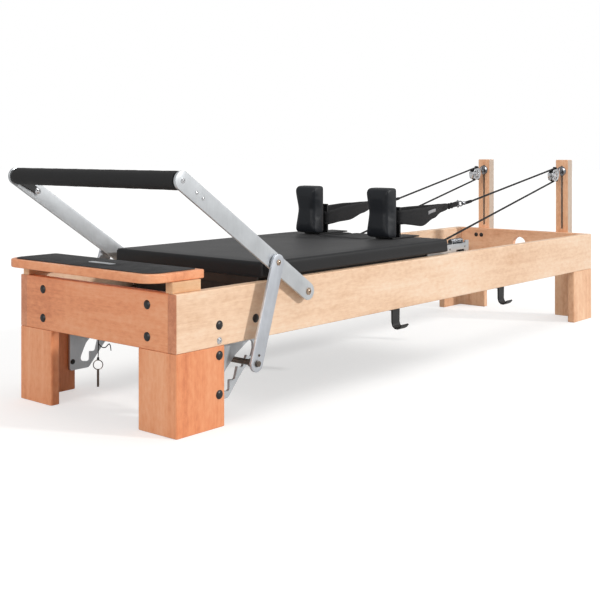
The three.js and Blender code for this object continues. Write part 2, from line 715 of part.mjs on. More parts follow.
// Two cheeks and their pin, the bridge behind the sheave, and the eye bolt through the post.
function makeHousing() {
  const slope = Math.atan2(EYE_Z - PULLEY.z, postFront - PULLEY.x);
  const inside = PULLEY.width / 2 + 0.6;
  const outside = inside + 2.6;
  const cheek = stadium(new THREE.Vector2(0, 0), new THREE.Vector2(30, 0), 20, 8);
  const fork = join(
    prism('y', cheek, inside, outside),
    prism('y', cheek, -outside, -inside),
    cylinder('y', PULLEY.pinR, -outside - 2, outside + 2, [0, 0, 0], 14),
    prism('y', rectangle(35, -14, 46, 14, 3, 2), -inside - 1, inside + 1),
    cylinder('x', 5, 44, 75, [0, 0, 0], 12),
  );
  fork.rotateY(-slope).translate(PULLEY.x, 0, PULLEY.z);
  const eye = ring('y', 5, 12, -5, 5, [postFront - 19, 0, EYE_Z], 16);
  const shank = [
    [0, postFront - 9],
    [11, postFront - 9],
    [11, postFront - GAP],
    [3.6, postFront - GAP],
    [3.6, postBack + KNOB.gap + KNOB.depth - 4],
    [0, postBack + KNOB.gap + KNOB.depth - 4],
  ];
  return join(fork, eye, spin('x', shank, [0, 0, EYE_Z], 14));
}

function makeKnob() {
  const start = KNOB.gap - 4 + GAP;
  const profile = [
    [4, start],
    [10, start],
    [10, KNOB.gap],
    [KNOB.r - 1.5, KNOB.gap],
    [KNOB.r, KNOB.gap + 2],
    [KNOB.r, KNOB.gap + KNOB.depth - 4],
    [KNOB.r - 4, KNOB.gap + KNOB.depth],
    [0, KNOB.gap + KNOB.depth],
    [0, KNOB.gap + KNOB.depth - 3],
    [4, KNOB.gap + KNOB.depth - 3],
    [4, start],
  ];
  return spin('x', profile, [0, 0, 0], 20);
}

// Where a straight run touches the sheave, as the angle of the touching point round its centre.
function touchAngle(point, isUnder) {
  const reach = new THREE.Vector2(PULLEY.x - point[0], PULLEY.z - point[2]);
  const slope = Math.atan2(reach.y, reach.x);
  const lean = Math.asin(ROPE_LAY_R / reach.length());
  return isUnder ? slope - lean - Math.PI / 2 : slope + lean + Math.PI / 2;
}

// From the carriage under the sheave, round its back and over its top to the strap's ring.
function ropePoints(side) {
  const low = touchAngle(ROPE_ANCHOR, true);
  const high = touchAngle(ROPE_CLIP, false);
  const onSheave = (angle) => [
    PULLEY.x + ROPE_LAY_R * Math.cos(angle),
    POST.y,
    PULLEY.z + ROPE_LAY_R * Math.sin(angle),
  ];
  const mix = (a, b, t) => a.map((value, i) => value + (b[i] - value) * t);
  const points = [];
  const straight = [0, 0.2, 0.4, 0.6, 0.8, 0.97];
  straight.forEach((t) => points.push(mix(ROPE_ANCHOR, onSheave(low), t)));
  const WRAP_STEPS = 12;
  for (let k = 0; k <= WRAP_STEPS; k += 1) points.push(onSheave(low + ((high - low) * k) / WRAP_STEPS));
  straight.slice().reverse().forEach((t) => points.push(mix(ROPE_CLIP, onSheave(high), t)));
  return points.map(([x, y, z]) => [x, side * y, z]);
}

Object.entries(SIDES).forEach(([name, side]) => {
  const y = side * POST.y;
  place(fixed, `pulley_housing_${name}`, makeHousing(), chrome).position.y = y;
  place(fixed, `pulley_sheave_${name}`, makeSheave(), rubber).position.set(PULLEY.x, y, PULLEY.z);
  place(fixed, `post_knob_${name}`, makeKnob(), rubber).position.set(postBack, y, EYE_Z);
  place(fixed, `rope_${name}`, tube(ropePoints(side), ROPE_R), webbing);
});

// ---- pole hooks and lanyard ---------------------------------------------------------------
const POLE_HOOK = { places: [960, 1644], halfWidth: 20.5, t: 5 };

// A flat steel hook under the near rail, bent out and up.
function makePoleHook(middle) {
  const { t, halfWidth } = POLE_HOOK;
  const centreLine = [
    [-308, RAIL_BOTTOM - GAP - t / 2],
    [-325, RAIL_BOTTOM - GAP - t / 2],
    [-325, 170],
    [-328.5, 159],
    [-336.5, 152.5],
    [-346, 152],
    [-354, 156],
    [-362, 165],
  ].map(([y, z]) => new THREE.Vector2(y, z));
  const sideOf = (sign) => centreLine.map((point, i) => {
    const before = centreLine[Math.max(i - 1, 0)];
    const after = centreLine[Math.min(i + 1, centreLine.length - 1)];
    const along = after.clone().sub(before).normalize();
    const isBend = i === 1;
    const spread = isBend ? t / Math.SQRT2 : t / 2;
    return point.clone().add(new THREE.Vector2(-along.y, along.x).multiplyScalar(sign * spread));
  });
  const section = [...sideOf(1), ...sideOf(-1).reverse()];
  return prism('x', section, middle - halfWidth, middle + halfWidth);
}

POLE_HOOK.places.forEach((middle, i) => {
  place(fixed, `pole_hook_${i + 1}`, makePoleHook(middle), blackSteel);
});

const LANYARD = {
  x: 181,
  y: 204,
  cordR: 1.5,
  sway: 2,
  ringZ: 85,
  ringR: 14,
  wireR: 1.4,
  pinBottom: 20,
  pinR: 3.5,
};
const lanyardTop = SPRING_BAR.bottom - GAP;
const lanyardEnd = LANYARD.ringZ + LANYARD.ringR + 2.2;
const lanyardHeights = [0, 0.1, 0.22, 0.36, 0.5, 0.64, 0.78, 0.9, 1];
const lanyardPoints = lanyardHeights.map((t) => [
  LANYARD.x + LANYARD.sway * Math.sin(Math.PI * t),
  LANYARD.y,
  lanyardTop + (lanyardEnd - lanyardTop) * t,
]);
place(fixed, 'lanyard_cord', tube(lanyardPoints, LANYARD.cordR), webbing);

// A wire ring that faces out past the leg's corner, with the pull pin that hangs from it.
function makeLanyardPin() {
  const { x, y, ringZ, ringR, wireR, pinBottom, pinR } = LANYARD;
  const section = circle(ringR, 0, wireR, 8).map((p) => [p.x, p.y]);
  const loop = spin('y', [...section, section[0]], [0, 0, 0], 20);
  loop.rotateZ(-Math.PI / 4).translate(x, y, ringZ);
  return join(loop, cylinder('z', pinR, pinBottom, ringZ - ringR + 1, [x, y, 0], 12));
}

place(fixed, 'lanyard_pin', makeLanyardPin(), steel);

// ---- origin: the middle of the footprint --------------------------------------------------
const backmost = postBack + KNOB.gap + KNOB.depth;
reformer.position.x = -(PLATFORM.front + backmost) / 2;

export default reformer;
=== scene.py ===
import json
import math

import bmesh
import bpy
from mathutils import Matrix, Vector


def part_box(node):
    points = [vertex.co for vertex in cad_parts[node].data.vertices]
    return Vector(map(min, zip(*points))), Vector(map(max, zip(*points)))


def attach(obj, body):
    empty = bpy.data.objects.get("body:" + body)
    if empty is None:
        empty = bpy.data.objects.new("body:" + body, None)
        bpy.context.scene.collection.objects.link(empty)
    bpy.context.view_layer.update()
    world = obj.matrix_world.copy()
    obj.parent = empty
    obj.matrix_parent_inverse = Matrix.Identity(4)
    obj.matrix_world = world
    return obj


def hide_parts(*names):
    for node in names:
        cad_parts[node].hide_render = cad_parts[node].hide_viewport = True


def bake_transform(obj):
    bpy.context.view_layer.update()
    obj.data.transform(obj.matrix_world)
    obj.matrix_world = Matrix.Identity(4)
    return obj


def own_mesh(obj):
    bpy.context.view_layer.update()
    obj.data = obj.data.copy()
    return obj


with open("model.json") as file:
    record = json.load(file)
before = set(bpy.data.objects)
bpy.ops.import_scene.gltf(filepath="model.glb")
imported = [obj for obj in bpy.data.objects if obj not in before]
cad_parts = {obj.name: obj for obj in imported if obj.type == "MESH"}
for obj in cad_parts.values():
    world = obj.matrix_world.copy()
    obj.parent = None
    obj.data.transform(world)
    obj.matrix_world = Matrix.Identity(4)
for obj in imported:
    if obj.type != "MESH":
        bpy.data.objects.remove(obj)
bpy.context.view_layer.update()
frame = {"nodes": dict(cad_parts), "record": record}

# ---- places -------------------------------------------------------------------------------
# Details are placed in millimetres from the outer face of the foot end panel, the middle plane
# and the floor, as the design is.
MM = 0.001
START_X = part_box("foot_end_panel")[0].x
SIDES = {"near": -1, "far": 1}
X_AXIS, Y_AXIS, Z_AXIS = 0, 1, 2


def at(x, y, z):
    return Vector((START_X + x * MM, y * MM, z * MM))


def span(node, axis):
    """Lowest and highest value of a CAD node along an axis, in design millimetres."""
    low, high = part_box(node)
    shift = START_X if axis == X_AXIS else 0
    return (low[axis] - shift) / MM, (high[axis] - shift) / MM


# ---- camera -------------------------------------------------------------------------------
camera_data = bpy.data.cameras.new("camera")
camera_data.sensor_width = 36.0
camera_data.lens = 60.63
camera_data.shift_y = -0.2495
camera = bpy.data.objects.new("camera", camera_data)
camera.location = at(-1719.8, -2196.9, 722.3)
camera.rotation_euler = (math.radians(90), 0, math.radians(-49.67))
bpy.context.scene.collection.objects.link(camera)
bpy.context.scene.camera = camera


# ---- cord routes --------------------------------------------------------------------------
# Each rope runs from the carriage under its sheave, round the back and over the top to its strap.
ROPE_R = 3.75
ROPE_ANCHOR = (1347.2, 195, 367)
ROPE_CLIP = (1657, 168.5, 519)
SHEAVE = {"x": 2338, "y": 195, "z": 614, "lay": 26.55}
WRAP_STEPS = 24


def touch_angle(point, is_under):
    """Where a straight run touches the sheave, as an angle round its centre."""
    ahead, up = SHEAVE["x"] - point[0], SHEAVE["z"] - point[2]
    lean = math.asin(SHEAVE["lay"] / math.hypot(ahead, up))
    slope = math.atan2(up, ahead)
    return slope - lean - math.pi / 2 if is_under else slope + lean + math.pi / 2


def on_sheave(angle):
    return (
        SHEAVE["x"] + SHEAVE["lay"] * math.cos(angle),
        SHEAVE["y"],
        SHEAVE["z"] + SHEAVE["lay"] * math.sin(angle),
    )


def turns(count):
    """The angles of some even steps round a circle."""
    return [2 * math.pi * k / count for k in range(count)]


def between(a, b, steps):
    return [tuple(p + (q - p) * k / steps for p, q in zip(a, b)) for k in range(steps + 1)]


LOW_TOUCH, HIGH_TOUCH = touch_angle(ROPE_ANCHOR, True), touch_angle(ROPE_CLIP, False)
LOW_RUN = between(ROPE_ANCHOR, on_sheave(LOW_TOUCH), 20)
WRAP = [on_sheave(LOW_TOUCH + (HIGH_TOUCH - LOW_TOUCH) * k / WRAP_STEPS) for k in range(WRAP_STEPS + 1)]
TOP_RUN = between(on_sheave(HIGH_TOUCH), ROPE_CLIP, 16)

LANYARD = {"x": 181, "y": 204, "top": 231.7, "end": 101.2, "sway": 2, "r": 1.5}
LANYARD_RUN = [
    (
        LANYARD["x"] + LANYARD["sway"] * math.sin(math.pi * k / 20),
        LANYARD["y"],
        LANYARD["top"] + (LANYARD["end"] - LANYARD["top"]) * k / 20,
    )
    for k in range(21)
]


def route(points, side=1):
    return [at(x, side * y, z) for x, y, z in points]


# ---- mesh helpers -------------------------------------------------------------------------
def finish_mesh(name, mesh, sharp=35):
    mesh.validate()
    mesh.shade_smooth()
    mesh.set_sharp_from_angle(angle=math.radians(sharp))
    piece = bpy.data.objects.new(name, mesh)
    bpy.context.scene.collection.objects.link(piece)
    return piece


def from_bmesh(name, bm, sharp=35):
    bmesh.ops.recalc_face_normals(bm, faces=bm.faces)
    mesh = bpy.data.meshes.new(name)
    bm.to_mesh(mesh)
    bm.free()
    return finish_mesh(name, mesh, sharp)


def axis_turn(axis):
    """Turns +Z to the given axis, by its number."""
    if axis == X_AXIS:
        return Matrix.Rotation(math.radians(90), 4, "Y")
    if axis == Y_AXIS:
        return Matrix.Rotation(math.radians(-90), 4, "X")
    return Matrix.Identity(4)


def add_box(bm, low, high, edge=0.0, segments=3):
    """A box with rounded edges between two design corners."""
    low, high = at(*low), at(*high)
    middle, size = (low + high) / 2, high - low
    found = bmesh.ops.create_cube(bm, size=1.0)["verts"]
    bmesh.ops.scale(bm, vec=size, verts=found)
    bmesh.ops.translate(bm, vec=middle, verts=found)
    if edge > 0:
        edges = list({e for v in found for e in v.link_edges})
        bmesh.ops.bevel(bm, geom=edges, offset=edge * MM, segments=segments, profile=0.5, affect="EDGES")


def add_lathe(bm, profile, centre, axis, segments=24, flip=False, closed=False, lobes=0, depth=0.0):
    """Spins [radius, distance] pairs about an axis through a design point. The ends lie on the
    axis, or the profile closes on itself. Lobes wave the outer radius by a share of it."""
    turn = Matrix.Translation(at(*centre)) @ axis_turn(axis)
    if flip:
        turn = turn @ Matrix.Rotation(math.pi, 4, "X")
    rings = []
    for radius, distance in profile:
        if radius < 1e-6:
            rings.append([bm.verts.new(turn @ Vector((0, 0, distance * MM)))])
            continue
        ring = []
        for angle in turns(segments):
            wave = 1 - depth * (0.5 - 0.5 * math.cos(lobes * angle))
            spot = Vector((radius * wave * math.cos(angle), radius * wave * math.sin(angle), distance)) * MM
            ring.append(bm.verts.new(turn @ spot))
        rings.append(ring)
    pairs = list(zip(rings, rings[1:]))
    if closed:
        pairs.append((rings[-1], rings[0]))
    for a, b in pairs:
        join_rings(bm, a, b)


def join_rings(bm, a, b):
    count = max(len(a), len(b))
    for k in range(count):
        n = (k + 1) % count
        if len(a) == 1 and len(b) == 1:
            continue
        if len(a) == 1:
            bm.faces.new((a[0], b[n], b[k]))
        elif len(b) == 1:
            bm.faces.new((a[k], a[n], b[0]))
        else:
            bm.faces.new((a[k], a[n], b[n], b[k]))


def add_sweep(bm, rings, closed=False):
    """Joins rings of points. Open sweeps get flat ends."""
    made = [[bm.verts.new(p) for p in ring] for ring in rings]
    pairs = list(zip(made, made[1:]))
    if closed:
        pairs.append((made[-1], made[0]))
    for a, b in pairs:
        join_rings(bm, a, b)
    if not closed:
        bm.faces.new(list(reversed(made[0])))
        bm.faces.new(made[-1])


def tube_rings(points, radius, sides=10, radii=None):
    """Rings of a round section along a line of points, turned as little as possible."""
    tangents = []
    for i in range(len(points)):
        before, after = points[max(i - 1, 0)], points[min(i + 1, len(points) - 1)]
        tangents.append((after - before).normalized())
    up = Vector((0, 1, 0)) if abs(tangents[0].y) < 0.8 else Vector((1, 0, 0))
    rings = []
    for i, (point, tangent) in enumerate(zip(points, tangents)):
        up = (up - tangent * up.dot(tangent)).normalized()
        side = tangent.cross(up)
        size = radii[i] if radii else radius
        rings.append([point + (up * math.cos(a) + side * math.sin(a)) * size for a in turns(sides)])
    return rings


def smooth_line(points, steps):
    """A Catmull-Rom line through the points, with some steps to each span."""
    line = []
    last = len(points) - 1
    for i in range(last):
        a, b, c, d = points[max(i - 1, 0)], points[i], points[i + 1], points[min(i + 2, last)]
        for k in range(steps):
            t = k / steps
            square, cube = (2 * a - 5 * b + 4 * c - d) * t * t, (3 * b - a - 3 * c + d) * t ** 3
            line.append(0.5 * (2 * b + (c - a) * t + square + cube))
    line.append(points[last].copy())
    return line


def add_plate(bm, outline, axis, start, end, edge=0.0, segments=2, holes=()):
    """A flat plate: a design outline pushed along an axis from start to end, with eased rims.
    Outlines are in Y,Z for the X axis, X,Z for the Y axis and X,Y for the Z axis."""

    def spot(pair, depth):
        u, v = pair
        if axis == X_AXIS:
            return at(depth, u, v)
        if axis == Y_AXIS:
            return at(u, depth, v)
        return at(u, v, depth)

    loops = [outline, *holes]
    if edge > 0:
        levels = []
        for k in range(segments + 1):
            angle = math.pi / 2 * k / segments
            levels.append((edge * (1 - math.sin(angle)), start + edge * (1 - math.cos(angle))))
        levels += [(inset, start + end - depth) for inset, depth in reversed(levels)]
    else:
        levels = [(0, start), (0, end)]
    walls = []
    for index, loop in enumerate(loops):
        sign = 1 if index == 0 else -1
        rings = []
        for inset, depth in levels:
            rings.append([bm.verts.new(spot(p, depth)) for p in inset_loop(loop, inset * sign)])
        for a, b in zip(rings, rings[1:]):
            join_rings(bm, a, b)
        walls.append(rings)
    for end_index in (0, -1):
        rims = []
        for rings in walls:
            ring = rings[end_index]
            for k, vertex in enumerate(ring):
                rims.append(bm.edges.get((vertex, ring[(k + 1) % len(ring)])))
        bmesh.ops.triangle_fill(bm, use_beauty=True, use_dissolve=False, edges=rims)


def inset_loop(loop, distance):
    """Moves an outline inwards (or outwards, when negative) by a distance, corner by corner."""
    if abs(distance) < 1e-9:
        return loop
    area = sum(a[0] * b[1] - b[0] * a[1] for a, b in zip(loop, loop[1:] + loop[:1]))
    turn = 1 if area > 0 else -1
    moved = []
    for i, (x, y) in enumerate(loop):
        px, py = loop[i - 1]
        nx, ny = loop[(i + 1) % len(loop)]
        a = Vector((x - px, y - py)).normalized()
        b = Vector((nx - x, ny - y)).normalized()
        normal = Vector((-(a.y + b.y), a.x + b.x))
        if normal.length < 1e-9:
            normal = Vector((-a.y, a.x))
        normal.normalize()
        reach = distance / max(0.3, normal.dot(Vector((-a.y, a.x))))
        moved.append((x + normal.x * reach * turn, y + normal.y * reach * turn))
    return moved


def rounded(corners, segments=5):
    """A closed outline through (x, y, radius) corners."""
    points = []
    count = len(corners)
    for i, (x, y, radius) in enumerate(corners):
        corner = Vector((x, y))
        if radius <= 0:
            points.append((x, y))
            continue
        back = (Vector(corners[i - 1][:2]) - corner).normalized()
        ahead = (Vector(corners[(i + 1) % count][:2]) - corner).normalized()
        half = math.acos(max(-1, min(1, back.dot(ahead)))) / 2
        centre = corner + (back + ahead).normalized() * radius / math.sin(half)
        first = corner + back * radius / math.tan(half) - centre
        last = corner + ahead * radius / math.tan(half) - centre
        turn = math.atan2(first.x * last.y - first.y * last.x, first.dot(last))
        for k in range(segments + 1):
            spoke = Matrix.Rotation(turn * k / segments, 2) @ first
            points.append((centre.x + spoke.x, centre.y + spoke.y))
    return points


def disc(x, y, radius, segments=24):
    step = 2 * math.pi / segments
    return [(x + radius * math.cos(step * k), y + radius * math.sin(step * k)) for k in range(segments)]


def arc(centre, radius, start, end, segments):
    """Points round a centre from one angle to another."""
    angles = [start + (end - start) * k / segments for k in range(segments + 1)]
    return [(centre[0] + radius * math.cos(a), centre[1] + radius * math.sin(a)) for a in angles]


def band_arc(centre, middle, half_angle, inner, outer, segments):
    """The outline of a curved strip between two radii, either side of a middle angle."""
    first, last = middle - half_angle, middle + half_angle
    return arc(centre, outer, first, last, segments) + arc(centre, inner, last, first, segments)


def stadium(a, b, radius, segments=12):
    along = math.atan2(b[1] - a[1], b[0] - a[0])
    left, right = along + math.pi / 2, along - math.pi / 2
    return arc(a, radius, left, left + math.pi, segments) + arc(b, radius, right, right + math.pi, segments)


def mirrored(half, middle=()):
    """A profile of [radius, distance] pairs, then its mirror image."""
    return [*half, *middle, *[[radius, -distance] for radius, distance in reversed(half)]]


# ---- material helpers ---------------------------------------------------------------------
class Shader:
    """A material's node tree, with a short way to add nodes to it."""

    def __init__(self, name, color, rough, metal=0.0, **sockets):
        self.material = bpy.data.materials.new(name)
        self.material.use_nodes = True
        self.tree = self.material.node_tree
        self.bsdf = self.tree.nodes["Principled BSDF"]
        self.set(self.bsdf, {"Base Color": (*color, 1), "Roughness": rough, "Metallic": metal, **sockets})
        self.place = self.node("ShaderNodeTexCoord").outputs["Object"]

    def set(self, node, inputs):
        for key, value in inputs.items():
            socket = node.inputs[key]
            if isinstance(value, bpy.types.NodeSocket):
                self.tree.links.new(value, socket)
            else:
                socket.default_value = value

    def node(self, kind, inputs=None, **settings):
        made = self.tree.nodes.new(kind)
        for key, value in settings.items():
            setattr(made, key, value)
        self.set(made, inputs or {})
        return made

    def space(self, scale, location=(0, 0, 0), rotation=(0, 0, 0)):
        inputs = {"Vector": self.place, "Scale": scale, "Location": location, "Rotation": rotation}
        return self.node("ShaderNodeMapping", inputs).outputs["Vector"]

    def noise(self, space, scale=1.0, detail=3.0, rough=0.5, distort=0.0):
        inputs = {"Vector": space, "Scale": scale, "Detail": detail, "Roughness": rough}
        return self.node("ShaderNodeTexNoise", {**inputs, "Distortion": distort}).outputs["Fac"]

    def math(self, operation, a, b=0.5, c=0.5):
        made = self.node("ShaderNodeMath", operation=operation)
        for index, value in enumerate((a, b, c)):
            if isinstance(value, bpy.types.NodeSocket):
                self.tree.links.new(value, made.inputs[index])
            else:
                made.inputs[index].default_value = value
        return made.outputs[0]

    def ramp(self, factor, stops):
        made = self.node("ShaderNodeValToRGB", {"Fac": factor})
        elements = made.color_ramp.elements
        while len(elements) < len(stops):
            elements.new(0.5)
        for element, (position, color) in zip(elements, stops):
            element.position = position
            element.color = (*color, 1)
        return made.outputs["Color"]

    def spread(self, factor, low, high):
        inputs = {"Value": factor, "To Min": low, "To Max": high}
        return self.node("ShaderNodeMapRange", inputs).outputs["Result"]

    def bump(self, height, distance, strength=1.0, normal=None):
        inputs = {"Height": height, "Distance": distance, "Strength": strength}
        if normal is not None:
            inputs["Normal"] = normal
        return self.node("ShaderNodeBump", inputs).outputs["Normal"]

    def surface(self, **sockets):
        names = {"color": "Base Color", "rough": "Roughness", "normal": "Normal"}
        self.set(self.bsdf, {names[key]: value for key, value in sockets.items()})
        return self.material


def wood(name, pale, middle, deep, along, seed, figure=1.0, rough=0.40, side_face=None, end_face=None):
    """Lacquered board: a faint ring figure, fine mottling, long fibres, short pores and patches of
    colour. Faces across Y and across X can have a tone of their own, as quartered edges and end
    grain do; the posts' cream tone across Y is painted light, for their strongly lit sides."""
    s = Shader(name, middle, rough, **{"Coat Weight": 0.15, "Coat Roughness": 0.25})
    shift = (seed * 1.7, seed * 2.3, seed * 0.9)

    def stretched(across, lengthwise):
        scale = [across] * 3
        scale[along] = lengthwise
        return s.space(scale, shift)

    rings = s.noise(stretched(5.0, 0.7), 1.0, 2.0, 0.45, 0.25)
    bands = s.math("SINE", s.math("MULTIPLY", rings, 34.0))
    fibres = s.noise(stretched(420.0, 22.0), 1.0, 4.0, 0.65)
    streaks = s.noise(stretched(60.0, 3.0), 1.0, 3.0, 0.55)
    mottle = s.noise(stretched(95.0, 48.0), 1.0, 3.0, 0.55)
    patches = s.noise(stretched(6.0, 2.6), 1.0, 2.0, 0.5)
    pores = s.noise(stretched(1300.0, 150.0), 1.0, 1.0, 0.5)
    flecks = s.spread(s.math("GREATER_THAN", pores, 0.68), 0.0, 0.12)
    tone = s.math("MULTIPLY_ADD", bands, 0.045 * figure, 0.5)
    for grain, weight in ((streaks, 0.42), (fibres, 0.40), (mottle, 0.45), (patches, 0.60)):
        tone = s.math("MULTIPLY_ADD", s.math("SUBTRACT", grain, 0.5), weight, tone)
    tone = s.math("ADD", tone, flecks)
    color = s.ramp(tone, [(0.22, pale), (0.5, middle), (0.82, deep)])
    facing = s.node("ShaderNodeSeparateXYZ", {"Vector": s.node("ShaderNodeTexCoord").outputs["Normal"]})
    for axis_name, tones in (("Y", side_face), ("X", end_face)):
        if tones:
            turned = s.math("GREATER_THAN", s.math("ABSOLUTE", facing.outputs[axis_name]), 0.7)
            other = s.ramp(tone, [(0.22, tones[0]), (0.5, tones[1]), (0.82, tones[2])])
            mixed = s.node("ShaderNodeMix", data_type="RGBA")
            s.tree.links.new(turned, mixed.inputs[0])
            s.tree.links.new(color, mixed.inputs[6])
            s.tree.links.new(other, mixed.inputs[7])
            color = mixed.outputs[2]
    grain = s.bump(fibres, 0.00012, 0.5, s.bump(bands, 0.00006, 0.3))
    return s.surface(color=color, rough=s.spread(streaks, rough - 0.07, rough + 0.10), normal=grain)


def brushed(name, color, rough, along, metal=1.0, streak=0.06):
    """Metal with fine brush marks along one axis."""
    s = Shader(name, color, rough, metal)
    scale = [1600.0] * 3
    scale[along] = 25.0
    marks = s.noise(s.space(scale), 1.0, 2.0, 0.6)
    haze = s.noise(s.space((14, 14, 14)), 1.0, 3.0, 0.6)
    pale = tuple(min(1.0, c * 1.07) for c in color)
    dark = tuple(c * 0.90 for c in color)
    tone = s.math("MULTIPLY_ADD", s.math("SUBTRACT", marks, 0.5), 0.7, haze)
    shade = s.ramp(tone, [(0.3, dark), (0.7, pale)])
    roughness = s.spread(marks, rough - streak, rough + streak)
    return s.surface(color=shade, rough=roughness, normal=s.bump(marks, 0.00003, 0.5))


def grained(name, color, rough, cell=620.0, depth=0.00016):
    """Coated upholstery: small leather-like cells, soft creases and a patchy sheen."""
    sheen = {"Sheen Weight": 0.06, "Sheen Roughness": 0.45, "Specular IOR Level": 0.35}
    s = Shader(name, color, rough, **sheen)
    inputs = {"Vector": s.space((cell,) * 3), "Scale": 1.0}
    cells = s.node("ShaderNodeTexVoronoi", inputs, feature="DISTANCE_TO_EDGE")
    height = s.math("MINIMUM", cells.outputs["Distance"], 0.25)
    creases = s.noise(s.space((36, 36, 36)), 1.0, 4.0, 0.6)
    haze = s.noise(s.space((5, 5, 5)), 1.0, 3.0, 0.55)
    shade = s.ramp(haze, [(0.3, tuple(c * 0.82 for c in color)), (0.75, tuple(c * 1.25 for c in color))])
    normal = s.bump(height, depth, 0.7, s.bump(creases, 0.0009, 0.35))
    return s.surface(color=shade, rough=s.spread(haze, rough - 0.06, rough + 0.08), normal=normal)


def woven(name, color, threads, rough=0.85):
    """Webbing or braided rope: a fine diagonal weave with stray lighter fibres."""
    sheen = {"Sheen Weight": 0.08, "Sheen Roughness": 0.5, "Specular IOR Level": 0.3}
    s = Shader(name, color, rough, **sheen)
    waves = []
    for angle in (0.72, -0.72):
        space = s.space((threads,) * 3, rotation=(angle, angle, angle * 0.5))
        inputs = {"Vector": space, "Scale": 1.0, "Distortion": 0.6, "Detail": 1.0}
        waves.append(s.node("ShaderNodeTexWave", inputs).outputs["Fac"])
    weave = s.math("MAXIMUM", waves[0], waves[1])
    fluff = s.noise(s.space((900,) * 3), 1.0, 3.0, 0.6)
    pale = tuple(c * 2.0 + 0.004 for c in color)
    tone = s.math("MULTIPLY", weave, s.math("ADD", fluff, 0.35))
    shade = s.ramp(tone, [(0.25, color), (0.95, pale)])
    return s.surface(color=shade, normal=s.bump(weave, 0.0004, 0.8, s.bump(fluff, 0.0002, 0.4)))


def speckled(name, color, rough, grit=1400.0, depth=0.0001, metal=0.0, contrast=0.35):
    """Powder coat, moulded rubber or foam: a fine pebbled surface with faint wear."""
    s = Shader(name, color, rough, metal)
    pebbles = s.noise(s.space((grit,) * 3), 1.0, 2.0, 0.55)
    wear = s.noise(s.space((30, 30, 30)), 1.0, 4.0, 0.65)
    low = tuple(c * (1 - contrast) for c in color)
    high = tuple(c * (1 + contrast) for c in color)
    tone = s.math("MULTIPLY_ADD", s.math("SUBTRACT", pebbles, 0.5), 0.8, wear)
    shade = s.ramp(tone, [(0.3, low), (0.75, high)])
    roughness = s.spread(wear, rough - 0.07, rough + 0.09)
    return s.surface(color=shade, rough=roughness, normal=s.bump(pebbles, depth, 0.7))


MAPLE = ((0.93, 0.74, 0.57), (0.87, 0.61, 0.42), (0.70, 0.42, 0.25))
MAPLE_END = ((0.80, 0.40, 0.24), (0.67, 0.27, 0.14), (0.48, 0.16, 0.075))
BEECH = ((0.93, 0.47, 0.26), (0.86, 0.35, 0.165), (0.63, 0.20, 0.085))
BEECH_SIDE = ((0.86, 0.38, 0.19), (0.79, 0.285, 0.12), (0.58, 0.16, 0.062))
PALE_BEECH = ((0.95, 0.68, 0.47), (0.88, 0.53, 0.32), (0.66, 0.32, 0.17))
# Paler copy of the beech for the head panel: painted light, for the brighter light on it
HEAD_BEECH_LIT = ((0.97, 0.65, 0.45), (0.93, 0.53, 0.32), (0.71, 0.33, 0.175))
POST_WOOD = ((0.97, 0.68, 0.47), (0.94, 0.53, 0.31), (0.72, 0.33, 0.16))
# Cream tone for the posts' faces across Y: painted light, for the strong key light on their sides
POST_PAINTED_LIGHT_SIDE = ((0.62, 0.52, 0.44), (0.58, 0.46, 0.37), (0.49, 0.34, 0.24))
# Dark ply for the deck, darkened further as painted shade for the shade under the pad
DARK_PLY_AND_SHADE = ((0.030, 0.026, 0.024), (0.020, 0.017, 0.015), (0.012, 0.010, 0.009))
BLOCK_WOOD = ((0.84, 0.57, 0.35), (0.78, 0.47, 0.26), (0.65, 0.34, 0.16))
rail_woods = {
    name: wood(f"maple_rail_{name}", *MAPLE, X_AXIS, 3 + i * 5, end_face=MAPLE_END)
    for i, name in enumerate(SIDES)
}
block_wood = wood("maple_block", *BLOCK_WOOD, X_AXIS, 21)
foot_panel_wood = wood("beech_panel_foot", *BEECH, Y_AXIS, 7)
# The head panel's paler beech is painted light
head_panel_wood = wood("beech_panel_head", *HEAD_BEECH_LIT, Y_AXIS, 11)
platform_wood = wood("beech_platform", *BEECH, Y_AXIS, 15, 1.2)
aluminium_long = brushed("aluminium_long", (0.66, 0.68, 0.70), 0.36, X_AXIS)
# Dark grey tracks: painted shade, for the shade on them inside the rails
track_painted_shade = brushed("track_painted_shade", (0.10, 0.10, 0.105), 0.42, X_AXIS)
aluminium_arm = brushed("aluminium_arm", (0.63, 0.655, 0.68), 0.40, Z_AXIS, 0.75)
zinc = brushed("zinc_steel", (0.48, 0.48, 0.49), 0.30, X_AXIS)
chrome = brushed("chrome", (0.80, 0.81, 0.83), 0.13, Y_AXIS, 1.0, 0.03)
black_oxide = speckled("black_oxide", (0.022, 0.022, 0.024), 0.34, 900.0, 0.00006, 0.35)
powder_coat = speckled("powder_coat", (0.012, 0.012, 0.013), 0.42, 1500.0)
rubber = speckled("rubber", (0.022, 0.022, 0.023), 0.62, 1100.0, 0.00015)
grip_mat = speckled("grip_mat", (0.030, 0.030, 0.032), 0.80, 700.0, 0.0005, 0.0, 0.7)
foam = speckled("foam_grip", (0.006, 0.006, 0.007), 0.66, 1000.0, 0.0002)
vinyl = grained("vinyl", (0.006, 0.0065, 0.008), 0.48)
vinyl_rest = grained("vinyl_rest", (0.008, 0.010, 0.014), 0.50)
rope_braid = woven("rope_braid", (0.007, 0.007, 0.008), 900.0)
strap_fabric = woven("strap_fabric", (0.006, 0.006, 0.007), 620.0)
black_plastic = speckled("black_plastic", (0.016, 0.016, 0.017), 0.36, 700.0, 0.00004)
gloss_black = speckled("gloss_black", (0.012, 0.012, 0.013), 0.22, 900.0, 0.00003, 0.0, 0.25)
thread_black = woven("thread_black", (0.030, 0.030, 0.032), 2200.0)
